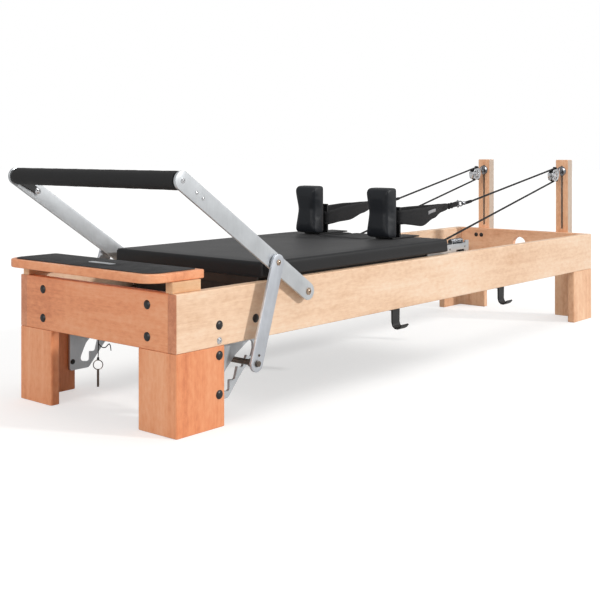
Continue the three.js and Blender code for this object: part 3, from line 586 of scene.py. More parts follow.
spring_steel = brushed("spring_steel", (0.42, 0.42, 0.43), 0.28, X_AXIS)
bronze_steel = brushed("bronze_steel", (0.20, 0.165, 0.14), 0.28, Y_AXIS)
brass_steel = brushed("brass_steel", (0.56, 0.43, 0.33), 0.26, Y_AXIS)
dark_chrome = brushed("dark_chrome", (0.30, 0.31, 0.33), 0.22, X_AXIS)
aluminium_strut = brushed("aluminium_strut", (0.60, 0.63, 0.68), 0.38, Z_AXIS, 0.75)
aluminium_rack = brushed("aluminium_rack", (0.60, 0.63, 0.66), 0.42, Z_AXIS, 0.85)
dark_ply_and_shade = wood("dark_ply_and_shade", *DARK_PLY_AND_SHADE, X_AXIS, 9)
label_grey = woven("label_grey", (0.22, 0.22, 0.23), 1500.0)


# ---- piece helpers ------------------------------------------------------------------------
def dress(piece, surface, body):
    """Gives a new piece its material and its body, unless it blends two bodies."""
    piece.data.materials.clear()
    piece.data.materials.append(surface)
    if body:
        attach(piece, body)
    return piece


def coat(node, surface):
    """Gives a carried-over CAD node its material."""
    mesh = frame["nodes"][node].data
    mesh.materials.clear()
    mesh.materials.append(surface)


BODY_OF = {node: body for body, nodes in frame["record"]["behaviour"]["bodies"].items() for node in nodes}


def eased(node, surface, width=0.8, angle=30, segments=2):
    """Stands in for a CAD node with the same shape and eased edges, so that they catch the light."""
    bm = bmesh.new()
    bm.from_mesh(frame["nodes"][node].data)
    bmesh.ops.remove_doubles(bm, verts=bm.verts, dist=1e-6)
    bmesh.ops.dissolve_limit(bm, angle_limit=math.radians(0.6), verts=bm.verts, edges=bm.edges)
    if width > 0:
        edges = [e for e in bm.edges if e.is_manifold and e.calc_face_angle() > math.radians(angle)]
        rim = {"offset": width * MM, "segments": segments, "profile": 0.5}
        bmesh.ops.bevel(bm, geom=edges, affect="EDGES", clamp_overlap=True, **rim)
    piece = from_bmesh(f"{node}_eased", bm, 40)
    even = piece.modifiers.new("even", "WEIGHTED_NORMAL")
    even.keep_sharp = True
    dress(piece, surface, BODY_OF[node])
    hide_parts(node)
    return piece


def make(name, build, surface, body, replaced=(), sharp=35):
    """Builds one piece from a function that fills a bmesh."""
    bm = bmesh.new()
    build(bm)
    piece = dress(from_bmesh(name, bm, sharp), surface, body)
    if replaced:
        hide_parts(*replaced)
    return piece


def sided(stem, name, build, surface, body, replaced=(), sharp=35):
    """Builds one side's piece from a function of a bmesh and the side's sign."""
    side = SIDES[name]
    return make(f"{stem}_{name}", lambda bm: build(bm, side), surface, body, replaced, sharp)


# ---- wooden frame -------------------------------------------------------------------------
def wooden(node, surface, width=0.0):
    return eased(node, surface, width)


wooden("foot_end_panel", foot_panel_wood)
wooden("head_end_panel", head_panel_wood, 1.2)
wooden("platform_board", platform_wood)
for index, (name, side) in enumerate(SIDES.items()):
    wooden(f"rail_{name}", rail_woods[name])
    foot_wood = wood(f"beech_leg_foot_{name}", *BEECH, Z_AXIS, 31 + index * 3, 1.3, side_face=BEECH_SIDE)
    wooden(f"leg_foot_{name}", foot_wood)
    wooden(f"leg_head_{name}", wood(f"beech_leg_head_{name}", *PALE_BEECH, Z_AXIS, 41 + index * 3, 1.3))
    # The posts' faces across Y get a cream tone: painted light for the key light on their sides
    post_wood = wood(f"beech_post_{name}", *POST_WOOD, Z_AXIS, 51 + index * 3, side_face=POST_PAINTED_LIGHT_SIDE)
    wooden(f"pulley_post_{name}", post_wood)
    wooden(f"platform_block_{name}", block_wood, 1.5)


def add_cap(bm, centre, axis, flip, radius=12.0, height=4.5):
    """A domed plastic cap over a bolt."""
    lip = radius - 1.2
    crown = [[radius * 0.72, height * 0.78], [radius * 0.4, height * 0.95], [0, height]]
    profile = [[0, -0.8], [radius, -0.8], [radius, 0.9], [lip, 1.6], *crown]
    add_lathe(bm, profile, centre, axis, 28, flip)


def add_button(bm, centre, axis, flip, radius=9.0, height=5.0, socket=3.2):
    """A button-head screw with a hexagon socket, on its washer."""
    washer = radius * 1.28
    disc_profile = [[0, 0], [washer, 0], [washer, 1.0], [washer - 0.4, 1.4], [0, 1.4]]
    add_lathe(bm, disc_profile, centre, axis, 28, flip)
    shoulder = [[0, 1.2], [radius, 1.2], [radius, 2.0], [radius * 0.86, height * 0.72]]
    add_lathe(bm, [*shoulder, [radius * 0.55, height], [socket, height]], centre, axis, 24, flip)
    floor = height - 2.4
    hexagon = [[socket * 1.05, height], [socket, height - 0.3], [socket, floor], [0, floor]]
    add_lathe(bm, hexagon, centre, axis, 6, flip)


def build_frame_caps(bm):
    for side in SIDES.values():
        for x, z in ((151, 267), (151, 188), (151, 86), (290, 267.5)):
            add_cap(bm, (x, side * 333, z), Y_AXIS, side < 0)
        for z in (327, 245):
            add_cap(bm, (0, side * 223, z), X_AXIS, True)
        for y in (194, 221):
            add_cap(bm, (2395, side * y, 331), X_AXIS, True, 9.5, 5.5)


def build_frame_bolts(bm):
    for side in SIDES.values():
        add_button(bm, (151, side * 333, 226.5), Y_AXIS, side < 0, 7.2, 4.6, 2.6)


make("frame_bolt_caps", build_frame_caps, black_plastic, "root")
make("frame_screws", build_frame_bolts, chrome, "root")


# ---- standing platform --------------------------------------------------------------------
GRIP_LOW, GRIP_HIGH = span("platform_grip", Z_AXIS)


def platform_outline(inset, segments=8):
    front, back = span("platform_board", X_AXIS)
    half = span("platform_board", Y_AXIS)[1]
    front, back, half, round_r = front + inset, back - inset, half - inset, 56 - inset
    corners = [(front, -half, round_r), (back, -half, 6), (back, half, 6), (front, half, round_r)]
    return rounded(corners, segments)


def build_grip(bm):
    add_plate(bm, platform_outline(16), Z_AXIS, GRIP_LOW, GRIP_HIGH, 0.9)


def build_grip_plate(bm):
    low = GRIP_HIGH - 0.2
    add_plate(bm, stadium((23, -54), (23, 30), 10), Z_AXIS, low, low + 0.9, 0.35)


make("grip_tread", build_grip, grip_mat, "root", ["platform_grip"])
make("grip_blank_plate", build_grip_plate, aluminium_arm, "root")


# ---- tracks, spring bar and springs -------------------------------------------------------
for name, side in SIDES.items():
    # The tracks' dark grey is painted shade
    eased(f"track_{name}", track_painted_shade, 0.6)
eased("spring_bar", zinc, 1.0)


TRACK_FACE = 295.7


def build_track_screws(bm):
    for side in SIDES.values():
        for x in range(260, 2380, 350):
            add_button(bm, (x, side * TRACK_FACE, 267), Y_AXIS, side > 0, 4.2, 3.0, 1.6)


make("track_screws", build_track_screws, zinc, "root")
SPRING_START, SPRING_END = span("spring_1", X_AXIS)
COIL_WIRE, COIL_R, COIL_TURNS = 1.5, 11.2, 92


def build_spring(bm, y, z):
    """A close-wound tension spring with a hook at each end."""
    first, last = SPRING_START + 30, SPRING_END - 30
    steps = 12
    points = []
    for k in range(5):
        t = k / 4
        points.append(at(SPRING_START + 2 + 14 * t, y + 5 * math.sin(math.pi * t), z + 1.5))
    for k in range(COIL_TURNS * steps + 1):
        angle = 2 * math.pi * k / steps
        along = k / (COIL_TURNS * steps)
        ease = min(1, along * COIL_TURNS / 1.5, (1 - along) * COIL_TURNS / 1.5)
        size = 2.0 + (COIL_R - 2.0) * ease
        x = first + (last - first) * along
        points.append(at(x, y + size * math.cos(angle), z + size * math.sin(angle)))
    for k in range(5):
        t = k / 4
        points.append(at(SPRING_END - 16 + 14 * t, y + 5 * math.sin(math.pi * t), z + 1.5))
    add_sweep(bm, tube_rings(points, COIL_WIRE * MM, 6))


for number in range(1, 6):
    spring_y = sum(span(f"spring_{number}", Y_AXIS)) / 2
    spring_z = sum(span(f"spring_{number}", Z_AXIS)) / 2
    coil = make(
        f"coil_spring_{number}",
        lambda bm, y=spring_y, z=spring_z: build_spring(bm, y, z),
        spring_steel,
        None,
        [f"spring_{number}"],
        60,
    )
    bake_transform(coil)


# ---- footbar linkage ----------------------------------------------------------------------
PIVOT, BAR, STRUT_PIN, CROSS_ROD = (484, 322), (-1, 647), (343.6, 416.1), (258, 154)
ARM_INSIDE, ARM_OUTSIDE = 350, 358
STRUT_INSIDE, STRUT_OUTSIDE = 361, 369
FOAM_REACH = span("footbar_foam", Y_AXIS)[1]


def along_arm(reach):
    """A point on the arm's middle line, at a distance from the bar towards the pivot."""
    length = math.hypot(PIVOT[0] - BAR[0], PIVOT[1] - BAR[1])
    return tuple(b + (p - b) * reach / length for p, b in zip(PIVOT, BAR))


def along_strut(reach):
    """A point on the strut's middle line, at a distance from the cross rod towards its pin."""
    length = math.hypot(STRUT_PIN[0] - CROSS_ROD[0], STRUT_PIN[1] - CROSS_ROD[1])
    return tuple(c + (p - c) * reach / length for p, c in zip(STRUT_PIN, CROSS_ROD))


def outside(side, inner, outer):
    return (inner, outer) if side > 0 else (-outer, -inner)


def build_arm(bm, side):
    levels = outside(side, ARM_INSIDE, ARM_OUTSIDE)
    add_plate(bm, stadium(BAR, PIVOT, 25, 16), Y_AXIS, *levels, 1.1, 3, [disc(*PIVOT, 6.4)])


def build_strut(bm, side):
    bore = disc(*CROSS_ROD, 8.4)
    pin = disc(*STRUT_PIN, 4.0)
    levels = outside(side, STRUT_INSIDE, STRUT_OUTSIDE)
    add_plate(bm, stadium(CROSS_ROD, STRUT_PIN, 23, 16), Y_AXIS, *levels, 1.1, 3, [bore, pin])


def build_arm_screws(bm, side):
    face = side * ARM_OUTSIDE
    for reach, radius in ((0, 5.4), (57, 4.0), (83, 4.0)):
        x, z = along_arm(reach)
        add_button(bm, (x, face, z), Y_AXIS, side < 0, radius, 2.8, radius * 0.42)
    x, z = along_arm(83)
    add_button(bm, (x, side * 343.9, z), Y_AXIS, side > 0, 8.0, 6.5, 3.4)


def build_strut_pin(bm, side):
    """The shouldered pin between arm and strut, with its washer and socket."""
    centre = (STRUT_PIN[0], side * STRUT_OUTSIDE, STRUT_PIN[1])
    add_button(bm, centre, Y_AXIS, side < 0, 6.4, 4.6, 2.8)
    shank = [[0, -10.4], [9, -10.4], [9, -8.2], [3.8, -8.2], [3.8, 0.6], [0, 0.6]]
    add_lathe(bm, shank, centre, Y_AXIS, 24, side < 0)


def build_rod_ends(bm, side):
    """The collar inside each strut and the small locking screw above the rod."""
    x, z = CROSS_ROD
    collar = [[8.1, 340], [10.5, 341], [15, 358.5], [15, 360.8], [8.1, 360.8], [8.1, 340]]
    add_lathe(bm, collar[:-1], (x, 0, z), Y_AXIS, 28, side < 0, closed=True)
    x, z = along_strut(22)
    add_button(bm, (x, side * STRUT_OUTSIDE, z), Y_AXIS, side < 0, 2.8, 2.2, 1.2)


def build_foam(bm):
    """A foam sleeve with slightly uneven, softly rounded ends."""
    inner, outer, ends = 14.4, 24.4, 4.0
    profile = [[inner, -FOAM_REACH]]
    for k in range(6):
        angle = math.pi / 2 * k / 5
        profile.append([outer - ends + ends * math.sin(angle), -FOAM_REACH + ends - ends * math.cos(angle)])
    rows = 60
    for k in range(1, rows):
        y = -FOAM_REACH + ends + (2 * FOAM_REACH - 2 * ends) * k / rows
        profile.append([outer + 0.18 * math.sin(k * 0.9) + 0.12 * math.sin(k * 2.3), y])
    for k in range(6):
        angle = math.pi / 2 * k / 5
        profile.append([outer - ends + ends * math.cos(angle), FOAM_REACH - ends + ends * math.sin(angle)])
    profile.append([inner, FOAM_REACH])
    add_lathe(bm, profile, (BAR[0], 0, BAR[1]), Y_AXIS, 40, closed=True)


def build_pivot(bm, side):
    """The arm's pivot bolt: spacer by the rail, shank, washer and button head."""
    spacer = [[6, 333.3], [14.2, 333.3], [15, 334.2], [15, 348.8], [14.2, 349.7], [6, 349.7]]
    centre = (PIVOT[0], 0, PIVOT[1])
    add_lathe(bm, spacer, centre, Y_AXIS, 32, side < 0, closed=True)
    add_lathe(bm, [[0, 340], [6, 340], [6, 358.6], [0, 358.6]], centre, Y_AXIS, 20, side < 0)
    add_button(bm, (PIVOT[0], side * 358.3, PIVOT[1]), Y_AXIS, side < 0, 8.4, 4.6, 3.4)


foam_sleeve = make("footbar_foam_sleeve", build_foam, foam, "footbar", ["footbar_foam"])
eased("footbar_tube", powder_coat, 0.8)
coat("footbar_cross_rod", bronze_steel)
for name in SIDES:
    for stem, build, surface, body, slot_name, node in (
        ("arm_plate", build_arm, aluminium_arm, "footbar", "aluminium", "footbar_arm"),
        ("strut_plate", build_strut, aluminium_strut, "footbar_strut", "aluminium", "footbar_strut"),
        ("arm_screws", build_arm_screws, chrome, "footbar", "chrome", None),
        ("strut_pin", build_strut_pin, brass_steel, "footbar_strut", "steel", None),
        ("rod_collar", build_rod_ends, bronze_steel, "footbar_strut", "steel", None),
        ("pivot_bolt", build_pivot, brass_steel, "root", "steel", "footbar_pivot"),
    ):
        sided(stem, name, build, surface, body, [f"{node}_{name}"] if node else ())
    eased(f"footbar_rack_{name}", aluminium_rack, 0.9, 50)


RACK_FACE = 292.7


def build_rack_screws(bm):
    for side in SIDES.values():
        for x, z in ((156, 188), (156, 86), (290, 228)):
            add_cap(bm, (x, side * RACK_FACE, z), Y_AXIS, side > 0, 8.0, 4.5)


make("rack_screws", build_rack_screws, black_oxide, "root")


# ---- carriage -----------------------------------------------------------------------------
# The deck's near-black colour is partly painted shade, for the shade under the pad
eased("carriage_deck", dark_ply_and_shade, 1.2)
for name, side in SIDES.items():
    eased(f"corner_bracket_{name}", aluminium_long, 0.8)
    eased(f"shoulder_bracket_{name}", powder_coat, 0.9)
for number in (1, 2):
    eased(f"pole_hook_{number}", powder_coat, 1.0)

WHEEL_Y, WHEEL_Z = 275, sum(span("wheel_foot_near", Z_AXIS)) / 2


TYRE = mirrored([[13, -10.2], [20, -10.8], [23.6, -10.6], [24.8, -9.4], [25, -7]])
HUB = mirrored([[5.5, -11], [8, -11], [8.6, -10.2], [12.4, -8.4], [13.2, -9.4]])
for name, side in SIDES.items():
    for end in ("foot", "head"):
        node = f"wheel_{end}_{name}"
        centre = (sum(span(node, X_AXIS)) / 2, side * WHEEL_Y, WHEEL_Z)
        for stem, profile, sides, surface, slot_name, replaced in (
            ("tyre", TYRE, 48, rubber, "rubber", [node]),
            ("hub", HUB, 36, zinc, "steel", ()),
        ):
            make(
                f"{node}_{stem}",
                lambda bm: add_lathe(bm, profile, centre, Y_AXIS, sides, closed=True),
                surface,
                node,
                replaced,
            )


CLEAT = {"start": 1364, "end": 1437, "y": 279, "z": 398.4}
BRACKET_END = span("corner_bracket_near", X_AXIS)[1]
BRACKET_FACE = 296.4


def build_rope_cleat(bm, side):
    """The grooved roller on the bracket's top flange, between its two lugs."""
    start, end = CLEAT["start"] + 4, CLEAT["end"] - 4
    pitch = (end - start - 3) / 19
    profile = [[0, start], [7.0, start], [7.6, start + 0.6]]
    for k in range(19):
        x = start + 1.6 + k * pitch
        profile += [[8.6, x], [8.6, x + 0.58 * pitch], [7.7, x + 0.7 * pitch], [7.7, x + 0.88 * pitch]]
    profile += [[7.6, end - 0.6], [7.0, end], [0, end]]
    add_lathe(bm, profile, (0, side * CLEAT["y"], CLEAT["z"]), X_AXIS, 24, lobes=12, depth=0.05)


def build_cleat_lugs(bm, side):
    for x in (CLEAT["start"], CLEAT["end"] - 3.2):
        low, high = outside(side, CLEAT["y"] - 9, CLEAT["y"] + 9)
        outline = rounded([(low, 389, 1), (high, 389, 1), (high, 405, 6), (low, 405, 6)])
        add_plate(bm, outline, X_AXIS, x, x + 3.2, 0.5)
    face = side * BRACKET_FACE
    add_button(bm, (BRACKET_END - 27, face, 378), Y_AXIS, side < 0, 2.6, 2.2, 1.1)
    for x, z in ((1215, 356.5), (1290, 356.5), (1335, 374)):
        add_button(bm, (x, face, z), Y_AXIS, side < 0, 3.6, 2.6, 1.5)


def build_bumper(bm, side):
    """The rubber stop on the bracket's end."""
    low, high = outside(side, 266, 288)
    add_box(bm, (BRACKET_END - 25, low, 346), (BRACKET_END - 5, high, 383), 4)


def build_end_shade_board(bm):
    """A dark cross board under the deck's foot end: painted shade, put where the deep shade under the pad
    falls.
    """
    add_box(bm, (351, -232, 292), (369, 232, 343.2), 1.5)


# A dark board standing in for the shade under the deck's foot end
make("deck_end_shade_board", build_end_shade_board, dark_ply_and_shade, "carriage")
for name in SIDES:
    sided("rope_cleat", name, build_rope_cleat, dark_chrome, "carriage")
    sided("bracket_fittings", name, build_cleat_lugs, zinc, "carriage")
    sided("bracket_bumper", name, build_bumper, rubber, "carriage")


# ---- padded pieces ------------------------------------------------------------------------
def applied(piece):
    """Turns a piece's modifiers into its mesh."""
    shown = piece.evaluated_get(bpy.context.evaluated_depsgraph_get())
    mesh = bpy.data.meshes.new_from_object(shown)
    piece.modifiers.clear()
    old = piece.data
    piece.data = mesh
    bpy.data.meshes.remove(old)


CLOTH = {
    "use_pressure": True,
    "quality": 4,
    "tension_stiffness": 25,
    "compression_stiffness": 25,
    "bending_stiffness": 3,
}
CLOTH_FRAMES = 20


def inflate(piece, voxel, cap, pinned, pressure=4.0):
    """Swells a stuffed piece with cloth pressure. Pinned points stay, and none moves past the cap."""
    grid = piece.modifiers.new("grid", "REMESH")
    grid.mode = "VOXEL"
    grid.voxel_size = voxel * MM
    applied(piece)
    mesh = piece.data
    start = [v.co.copy() for v in mesh.vertices]
    group = piece.vertex_groups.new(name="held")
    group.add([v.index for v in mesh.vertices if pinned(v.co)], 1.0, "REPLACE")
    cloth = piece.modifiers.new("cloth", "CLOTH")
    for key, value in CLOTH.items():
        setattr(cloth.settings, key, value)
    cloth.settings.uniform_pressure_force = pressure
    cloth.settings.vertex_group_mass = "held"
    cloth.settings.effector_weights.gravity = 0
    cloth.point_cache.frame_start = 1
    cloth.point_cache.frame_end = CLOTH_FRAMES
    for frame_number in range(1, CLOTH_FRAMES + 1):
        bpy.context.scene.frame_set(frame_number)
    shown = piece.evaluated_get(bpy.context.evaluated_depsgraph_get())
    moved = [v.co.copy() for v in shown.data.vertices]
    piece.modifiers.clear()
    piece.vertex_groups.clear()
    bpy.context.scene.frame_set(1)
    limit = cap * MM
    for vertex, begun, ended in zip(mesh.vertices, start, moved):
        step = ended - begun
        vertex.co = begun + step * min(1.0, limit / max(step.length, 1e-9))
    soften = piece.modifiers.new("soften", "SMOOTH")
    soften.factor = 0.5
    soften.iterations = 2
    finer = piece.modifiers.new("finer", "SUBSURF")
    finer.levels = finer.render_levels = 1
    applied(piece)
    piece.data.shade_smooth()


def fill_solid(piece, node, margin=0.3):
    """Stretches a stuffed piece the last few millimetres, so that it fills its solid's box."""
    low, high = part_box(node)
    places = [v.co for v in piece.data.vertices]
    for axis in (X_AXIS, Y_AXIS, Z_AXIS):
        first, last = min(p[axis] for p in places), max(p[axis] for p in places)
        start, end = low[axis] + margin * MM, high[axis] - margin * MM
        for place in places:
            place[axis] = start + (place[axis] - first) * (end - start) / (last - first)


def cushion(name, build, surface, body, node, voxel, cap, pinned):
    bm = bmesh.new()
    build(bm)
    piece = from_bmesh(name, bm)
    inflate(piece, voxel, cap, pinned)
    fill_solid(piece, node)
    dress(piece, surface, body)
    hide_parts(node)
    return piece


PAD_LOW, PAD_HIGH = span("carriage_pad", Z_AXIS)
PAD_START, PAD_END = span("carriage_pad", X_AXIS)
PAD_HALF = span("carriage_pad", Y_AXIS)[1]
REST_START = span("headrest_pad", X_AXIS)[0]
REST_HALF = span("headrest_pad", Y_AXIS)[1]
SWELL = 2.0


def build_main_pad(bm):
    start, end, half = PAD_START + SWELL, PAD_END - SWELL, PAD_HALF - SWELL
    bay, bay_start = REST_HALF + 1.5 + SWELL, REST_START - 1.5 - SWELL
    corners = [
        (start, -half, 5), (end, -half, 5), (end, -bay, 4), (bay_start, -bay, 3),
        (bay_start, bay, 3), (end, bay, 4), (end, half, 5), (start, half, 5),
    ]
    add_plate(bm, rounded(corners, 3), Z_AXIS, PAD_LOW + 0.4, PAD_HIGH - SWELL, 3, 2)


def build_headrest(bm):
    half = REST_HALF - SWELL + 0.8
    corners = [
        (REST_START + SWELL, -half, 6), (PAD_END - SWELL, -half, 7), (PAD_END - SWELL, half, 7),
        (REST_START + SWELL, half, 6),
    ]
    add_plate(bm, rounded(corners, 4), Z_AXIS, PAD_LOW + 1.4, PAD_HIGH - SWELL, 3, 2)


SHOULDER_Y, SHOULDER_HALF = 161, 49
SHOULDER_FRONT, SHOULDER_BACK = span("shoulder_pad_near", X_AXIS)
SHOULDER_LOW, SHOULDER_HIGH = span("shoulder_pad_near", Z_AXIS)


def shoulder_outline(inset):
    front, back = SHOULDER_FRONT + inset, SHOULDER_BACK - 0.6
    low, high = SHOULDER_LOW + inset, SHOULDER_HIGH - inset
    waist = (front + 11, (low + high) / 2, 90)
    return rounded([(front + 2, low, 16), (back, low, 6), (back, high, 8), (front, high, 20), waist], 7)


def build_shoulder(bm, side):
    reach = SHOULDER_HALF - 2.5
    add_plate(bm, shoulder_outline(2.5), Y_AXIS, side * SHOULDER_Y - reach, side * SHOULDER_Y + reach, 7, 4)


def is_low(limit):
    return lambda place: place.z < limit * MM


cushion(
    "carriage_cushion", build_main_pad, vinyl, "carriage", "carriage_pad", 6, SWELL, is_low(PAD_LOW + 3)
)
cushion(
    "headrest_cushion", build_headrest, vinyl, "headrest", "headrest_pad", 6, SWELL, is_low(PAD_LOW + 4)
)
shoulder_back = START_X + (SHOULDER_BACK - 4) * MM
for name, side in SIDES.items():
    cushion(
        f"shoulder_cushion_{name}",
        lambda bm, s=side: build_shoulder(bm, s),
        vinyl_rest,
        "carriage",
        f"shoulder_pad_{name}",
        4,
        5.5,
        lambda place: place.x > shoulder_back,
    )


# ---- foot straps --------------------------------------------------------------------------
STRAP_Y = 163
STRAP_TOP = [(1150, 513), (1180, 514), (1300, 518), (1400, 520.7), (1484, 523), (1530, 524)]
OUTER_LOW = [(1150, 467), (1180, 465), (1300, 453), (1400, 475), (1484, 493), (1530, 499)]
INNER_LOW = [(1150, 467), (1180, 465), (1300, 462), (1400, 480), (1484, 493), (1530, 499)]
STRAP_PLAN = [
    (1498, 165.5), (1470, 170.5), (1430, 180), (1380, 191), (1320, 200), (1260, 203.4), (1210, 203.6),
    (1176, 201), (1163.6, 193), (1161.3, 178), (1161, 161), (1161.3, 144), (1163.6, 129), (1176, 121),
    (1210, 118.4), (1260, 119), (1320, 124), (1380, 134), (1430, 145), (1470, 154.5), (1498, 160.5),
]
FAR_DIP, DIP_REACH = 17, 190


def eased_between(stops, x):
    """The value at x of a smooth line through (x, value) stops."""
    for (x0, a), (x1, b) in zip(stops, stops[1:]):
        if x <= x1:
            t = max(0.0, (x - x0) / (x1 - x0))
            return a + (b - a) * t * t * (3 - 2 * t)
    return stops[-1][1]


def strap_band(side):
    """The middle line of the padded band with its height and thickness at each point."""
    plan = smooth_line([Vector((x, y, 0)) for x, y in STRAP_PLAN], 5)
    count = len(plan)
    band = []
    for i, spot in enumerate(plan):
        x = spot.x
        low = eased_between(OUTER_LOW if i < 0.5 * count else INNER_LOW, x)
        high = eased_between(STRAP_TOP, x)
        dip = FAR_DIP * max(0.0, 1 - (x - STRAP_PLAN[10][0]) / DIP_REACH) ** 2 if side > 0 else 0
        closing = max(0.0, min(1.0, (x - 1360) / 140))
        thick = 7.4 - 1.6 * closing + 0.5 * math.sin(i * 0.55)
        band.append((x, side * spot.y, (low + high) / 2 - dip + 0.4 * math.sin(i * 0.8), high - low, thick))
    return band


def band_rings(band, sides=20):
    """Rings of a soft flat section along the band, standing upright."""
    spots = [at(x, y, z) for x, y, z, _, _ in band]
    rings = []
    for i, (spot, (_, _, _, height, thick)) in enumerate(zip(spots, band)):
        ahead = spots[min(i + 1, len(spots) - 1)] - spots[max(i - 1, 0)]
        ahead.z = 0
        aside = Vector((-ahead.y, ahead.x, 0)).normalized()
        ring = []
        for angle in turns(sides):
            level, rise = math.cos(angle), math.sin(angle)
            across = math.copysign(abs(level) ** 0.7, level) * thick / 2
            up = math.copysign(abs(rise) ** 0.45, rise) * height / 2
            ring.append(spot + aside * across * MM + Vector((0, 0, up * MM)))
        rings.append(ring)
    return rings


def build_strap(bm, side):
    add_sweep(bm, band_rings(strap_band(side)))


def build_strap_stitches(bm, side):
    """Two rows of stitches on the band's faces."""
    band = strap_band(side)
    for offset in (0.40, -0.40):
        for i in range(2, len(band) - 3):
            x, y, z, height, thick = band[i]
            nx, ny, nz, nheight, _ = band[i + 1]
            a, b = at(x, y, z + height * offset), at(nx, ny, nz + nheight * offset)
            ahead = (b - a).normalized()
            aside = Vector((-ahead.y, ahead.x, 0)).normalized()
            for face in (1, -1):
                shift = aside * face * (thick / 2 - 0.15) * MM
                pieces_count = max(1, round((b - a).length / (5.5 * MM)))
                for k in range(pieces_count):
                    p = a.lerp(b, (k + 0.2) / pieces_count) + shift
                    q = a.lerp(b, (k + 0.8) / pieces_count) + shift
                    add_sweep(bm, tube_rings([p, (p + q) / 2 + aside * face * 0.25 * MM, q], 0.45 * MM, 5))


def build_strap_tongue(bm, side):
    """Where the band's ends meet: a stitched, tapering tongue round the webbing."""
    stations = (
        (1462, 24, 5), (1474, 32, 13), (1490, 31, 13.5), (1508, 28, 11.5), (1520, 25, 9), (1525, 21, 5),
    )
    rows = []
    for x, height, thick in stations:
        rows.append((x, side * (STRAP_Y + (x - stations[0][0]) * 0.03), tail_height(x), height, thick))
    add_sweep(bm, band_rings(rows, 24))


def tail_height(x):
    return 507.5 + (x - 1484) * 0.105


def tail_side(x):
    return 164.8 + (x - 1519) * 0.024


def build_strap_tail(bm, side):
    """The webbing from the strap to its ring, folded back through it and stitched down."""
    rows = []
    for k in range(12):
        x = 1519 + k * 7
        wave = 0.8 * math.sin(k * 0.9)
        rows.append((x, side * tail_side(x), tail_height(x) + wave, 20 - 0.1 * k, 3.4))
    add_sweep(bm, band_rings(rows, 16))
    fold = []
    for k in range(8):
        x = 1545 + k * 7
        lift = 2.7 + 0.8 * math.sin(math.pi * k / 7)
        fold.append((x, side * (tail_side(x) + lift), tail_height(x), 19, 2.2))
    add_sweep(bm, band_rings(fold, 16))
    for x in (1533, 1551):
        low, high = outside(side, tail_side(x) - 4.6, tail_side(x) + 5.6)
        z = tail_height(x)
        add_box(bm, (x, low, z - 11.5), (x + 8, high, z + 11), 2.4)


def build_patch(bm, side):
    """A blank woven patch on the band's outer face."""
    band = [row for row in strap_band(side)[: len(strap_band(side)) // 2] if 1338 < row[0] < 1420]
    rows = [(x, side * (abs(y) + thick / 2 - 0.1), z + 6, 12, 1.0) for x, y, z, height, thick in band]
    add_sweep(bm, band_rings(rows, 12))


def loop_points(centre, radius_x, radius_z, lean, count=28, squash_y=0.0):
    points = []
    for angle in turns(count):
        x, z = radius_x * math.cos(angle), radius_z * math.sin(angle)
        points.append(at(
            centre[0] + x * math.cos(lean) - z * math.sin(lean),
            centre[1] + squash_y * math.sin(angle),
            centre[2] + x * math.sin(lean) + z * math.cos(lean),
        ))
    return points


def closed_tube(bm, points, radius, sides=10):
    """A tube along a closed line of points."""
    count = len(points)
    rings = []
    middle = sum(points, Vector()) / count
    for i, point in enumerate(points):
        ahead = (points[(i + 1) % count] - points[i - 1]).normalized()
        outward = point - middle
        outward = (outward - ahead * outward.dot(ahead)).normalized()
        aside = ahead.cross(outward)
        rings.append([point + (outward * math.cos(a) + aside * math.sin(a)) * radius for a in turns(sides)])
    add_sweep(bm, rings, closed=True)


def build_clip(bm, side):
    """The ring in the webbing, and the snap hook in it with its gate and swivel."""
    y, z = side * 167.3, 519
    lean = math.radians(6)
    closed_tube(bm, loop_points((1599, side * 166.8, z), 7.5, 13, lean), 2.3 * MM)
    closed_tube(bm, loop_points((1617, y, z), 15, 8.6, lean, 28, 2.5), 2.5 * MM)
    gate = [at(1606, y, z - 8), at(1616, y, z - 9.6), at(1628, y, z - 7.4)]
    add_sweep(bm, tube_rings(gate, 2.0 * MM, 10))
    swivel = [
        [0, 1628], [4.8, 1628.6], [6.4, 1631], [6.4, 1634], [4.6, 1635.4], [4.6, 1637], [6.8, 1638],
        [7.4, 1641], [6.8, 1645], [5.6, 1648], [0, 1648],
    ]
    add_lathe(bm, swivel, (0, side * 168, z + 0.4), X_AXIS, 24)


def build_splice(bm, side):
    """The rope's end, folded back through the swivel's eye and bound to itself in a sleeve."""
    start = at(1646, side * 168.2, 519.2)
    run = route(TOP_RUN, side)
    slope = (run[0] - run[-1]).normalized()
    end = run[-1] + slope * 43 * MM
    line = [start.lerp(end, k / 30) for k in range(31)]
    radii = []
    for k in range(31):
        ending = min(1.0, k / 3, (30 - k) / 5)
        radii.append((4.0 + 1.7 * ending) * MM)
    add_sweep(bm, tube_rings(line, 0, 16, radii))
    for k in range(9):
        spot = start.lerp(end, 0.18 + 0.075 * k)
        reach = slope * 0.7 * MM
        whipping = tube_rings([spot - reach, spot, spot + reach], 0, 16, [5.3 * MM, 6.1 * MM, 5.3 * MM])
        add_sweep(bm, whipping)


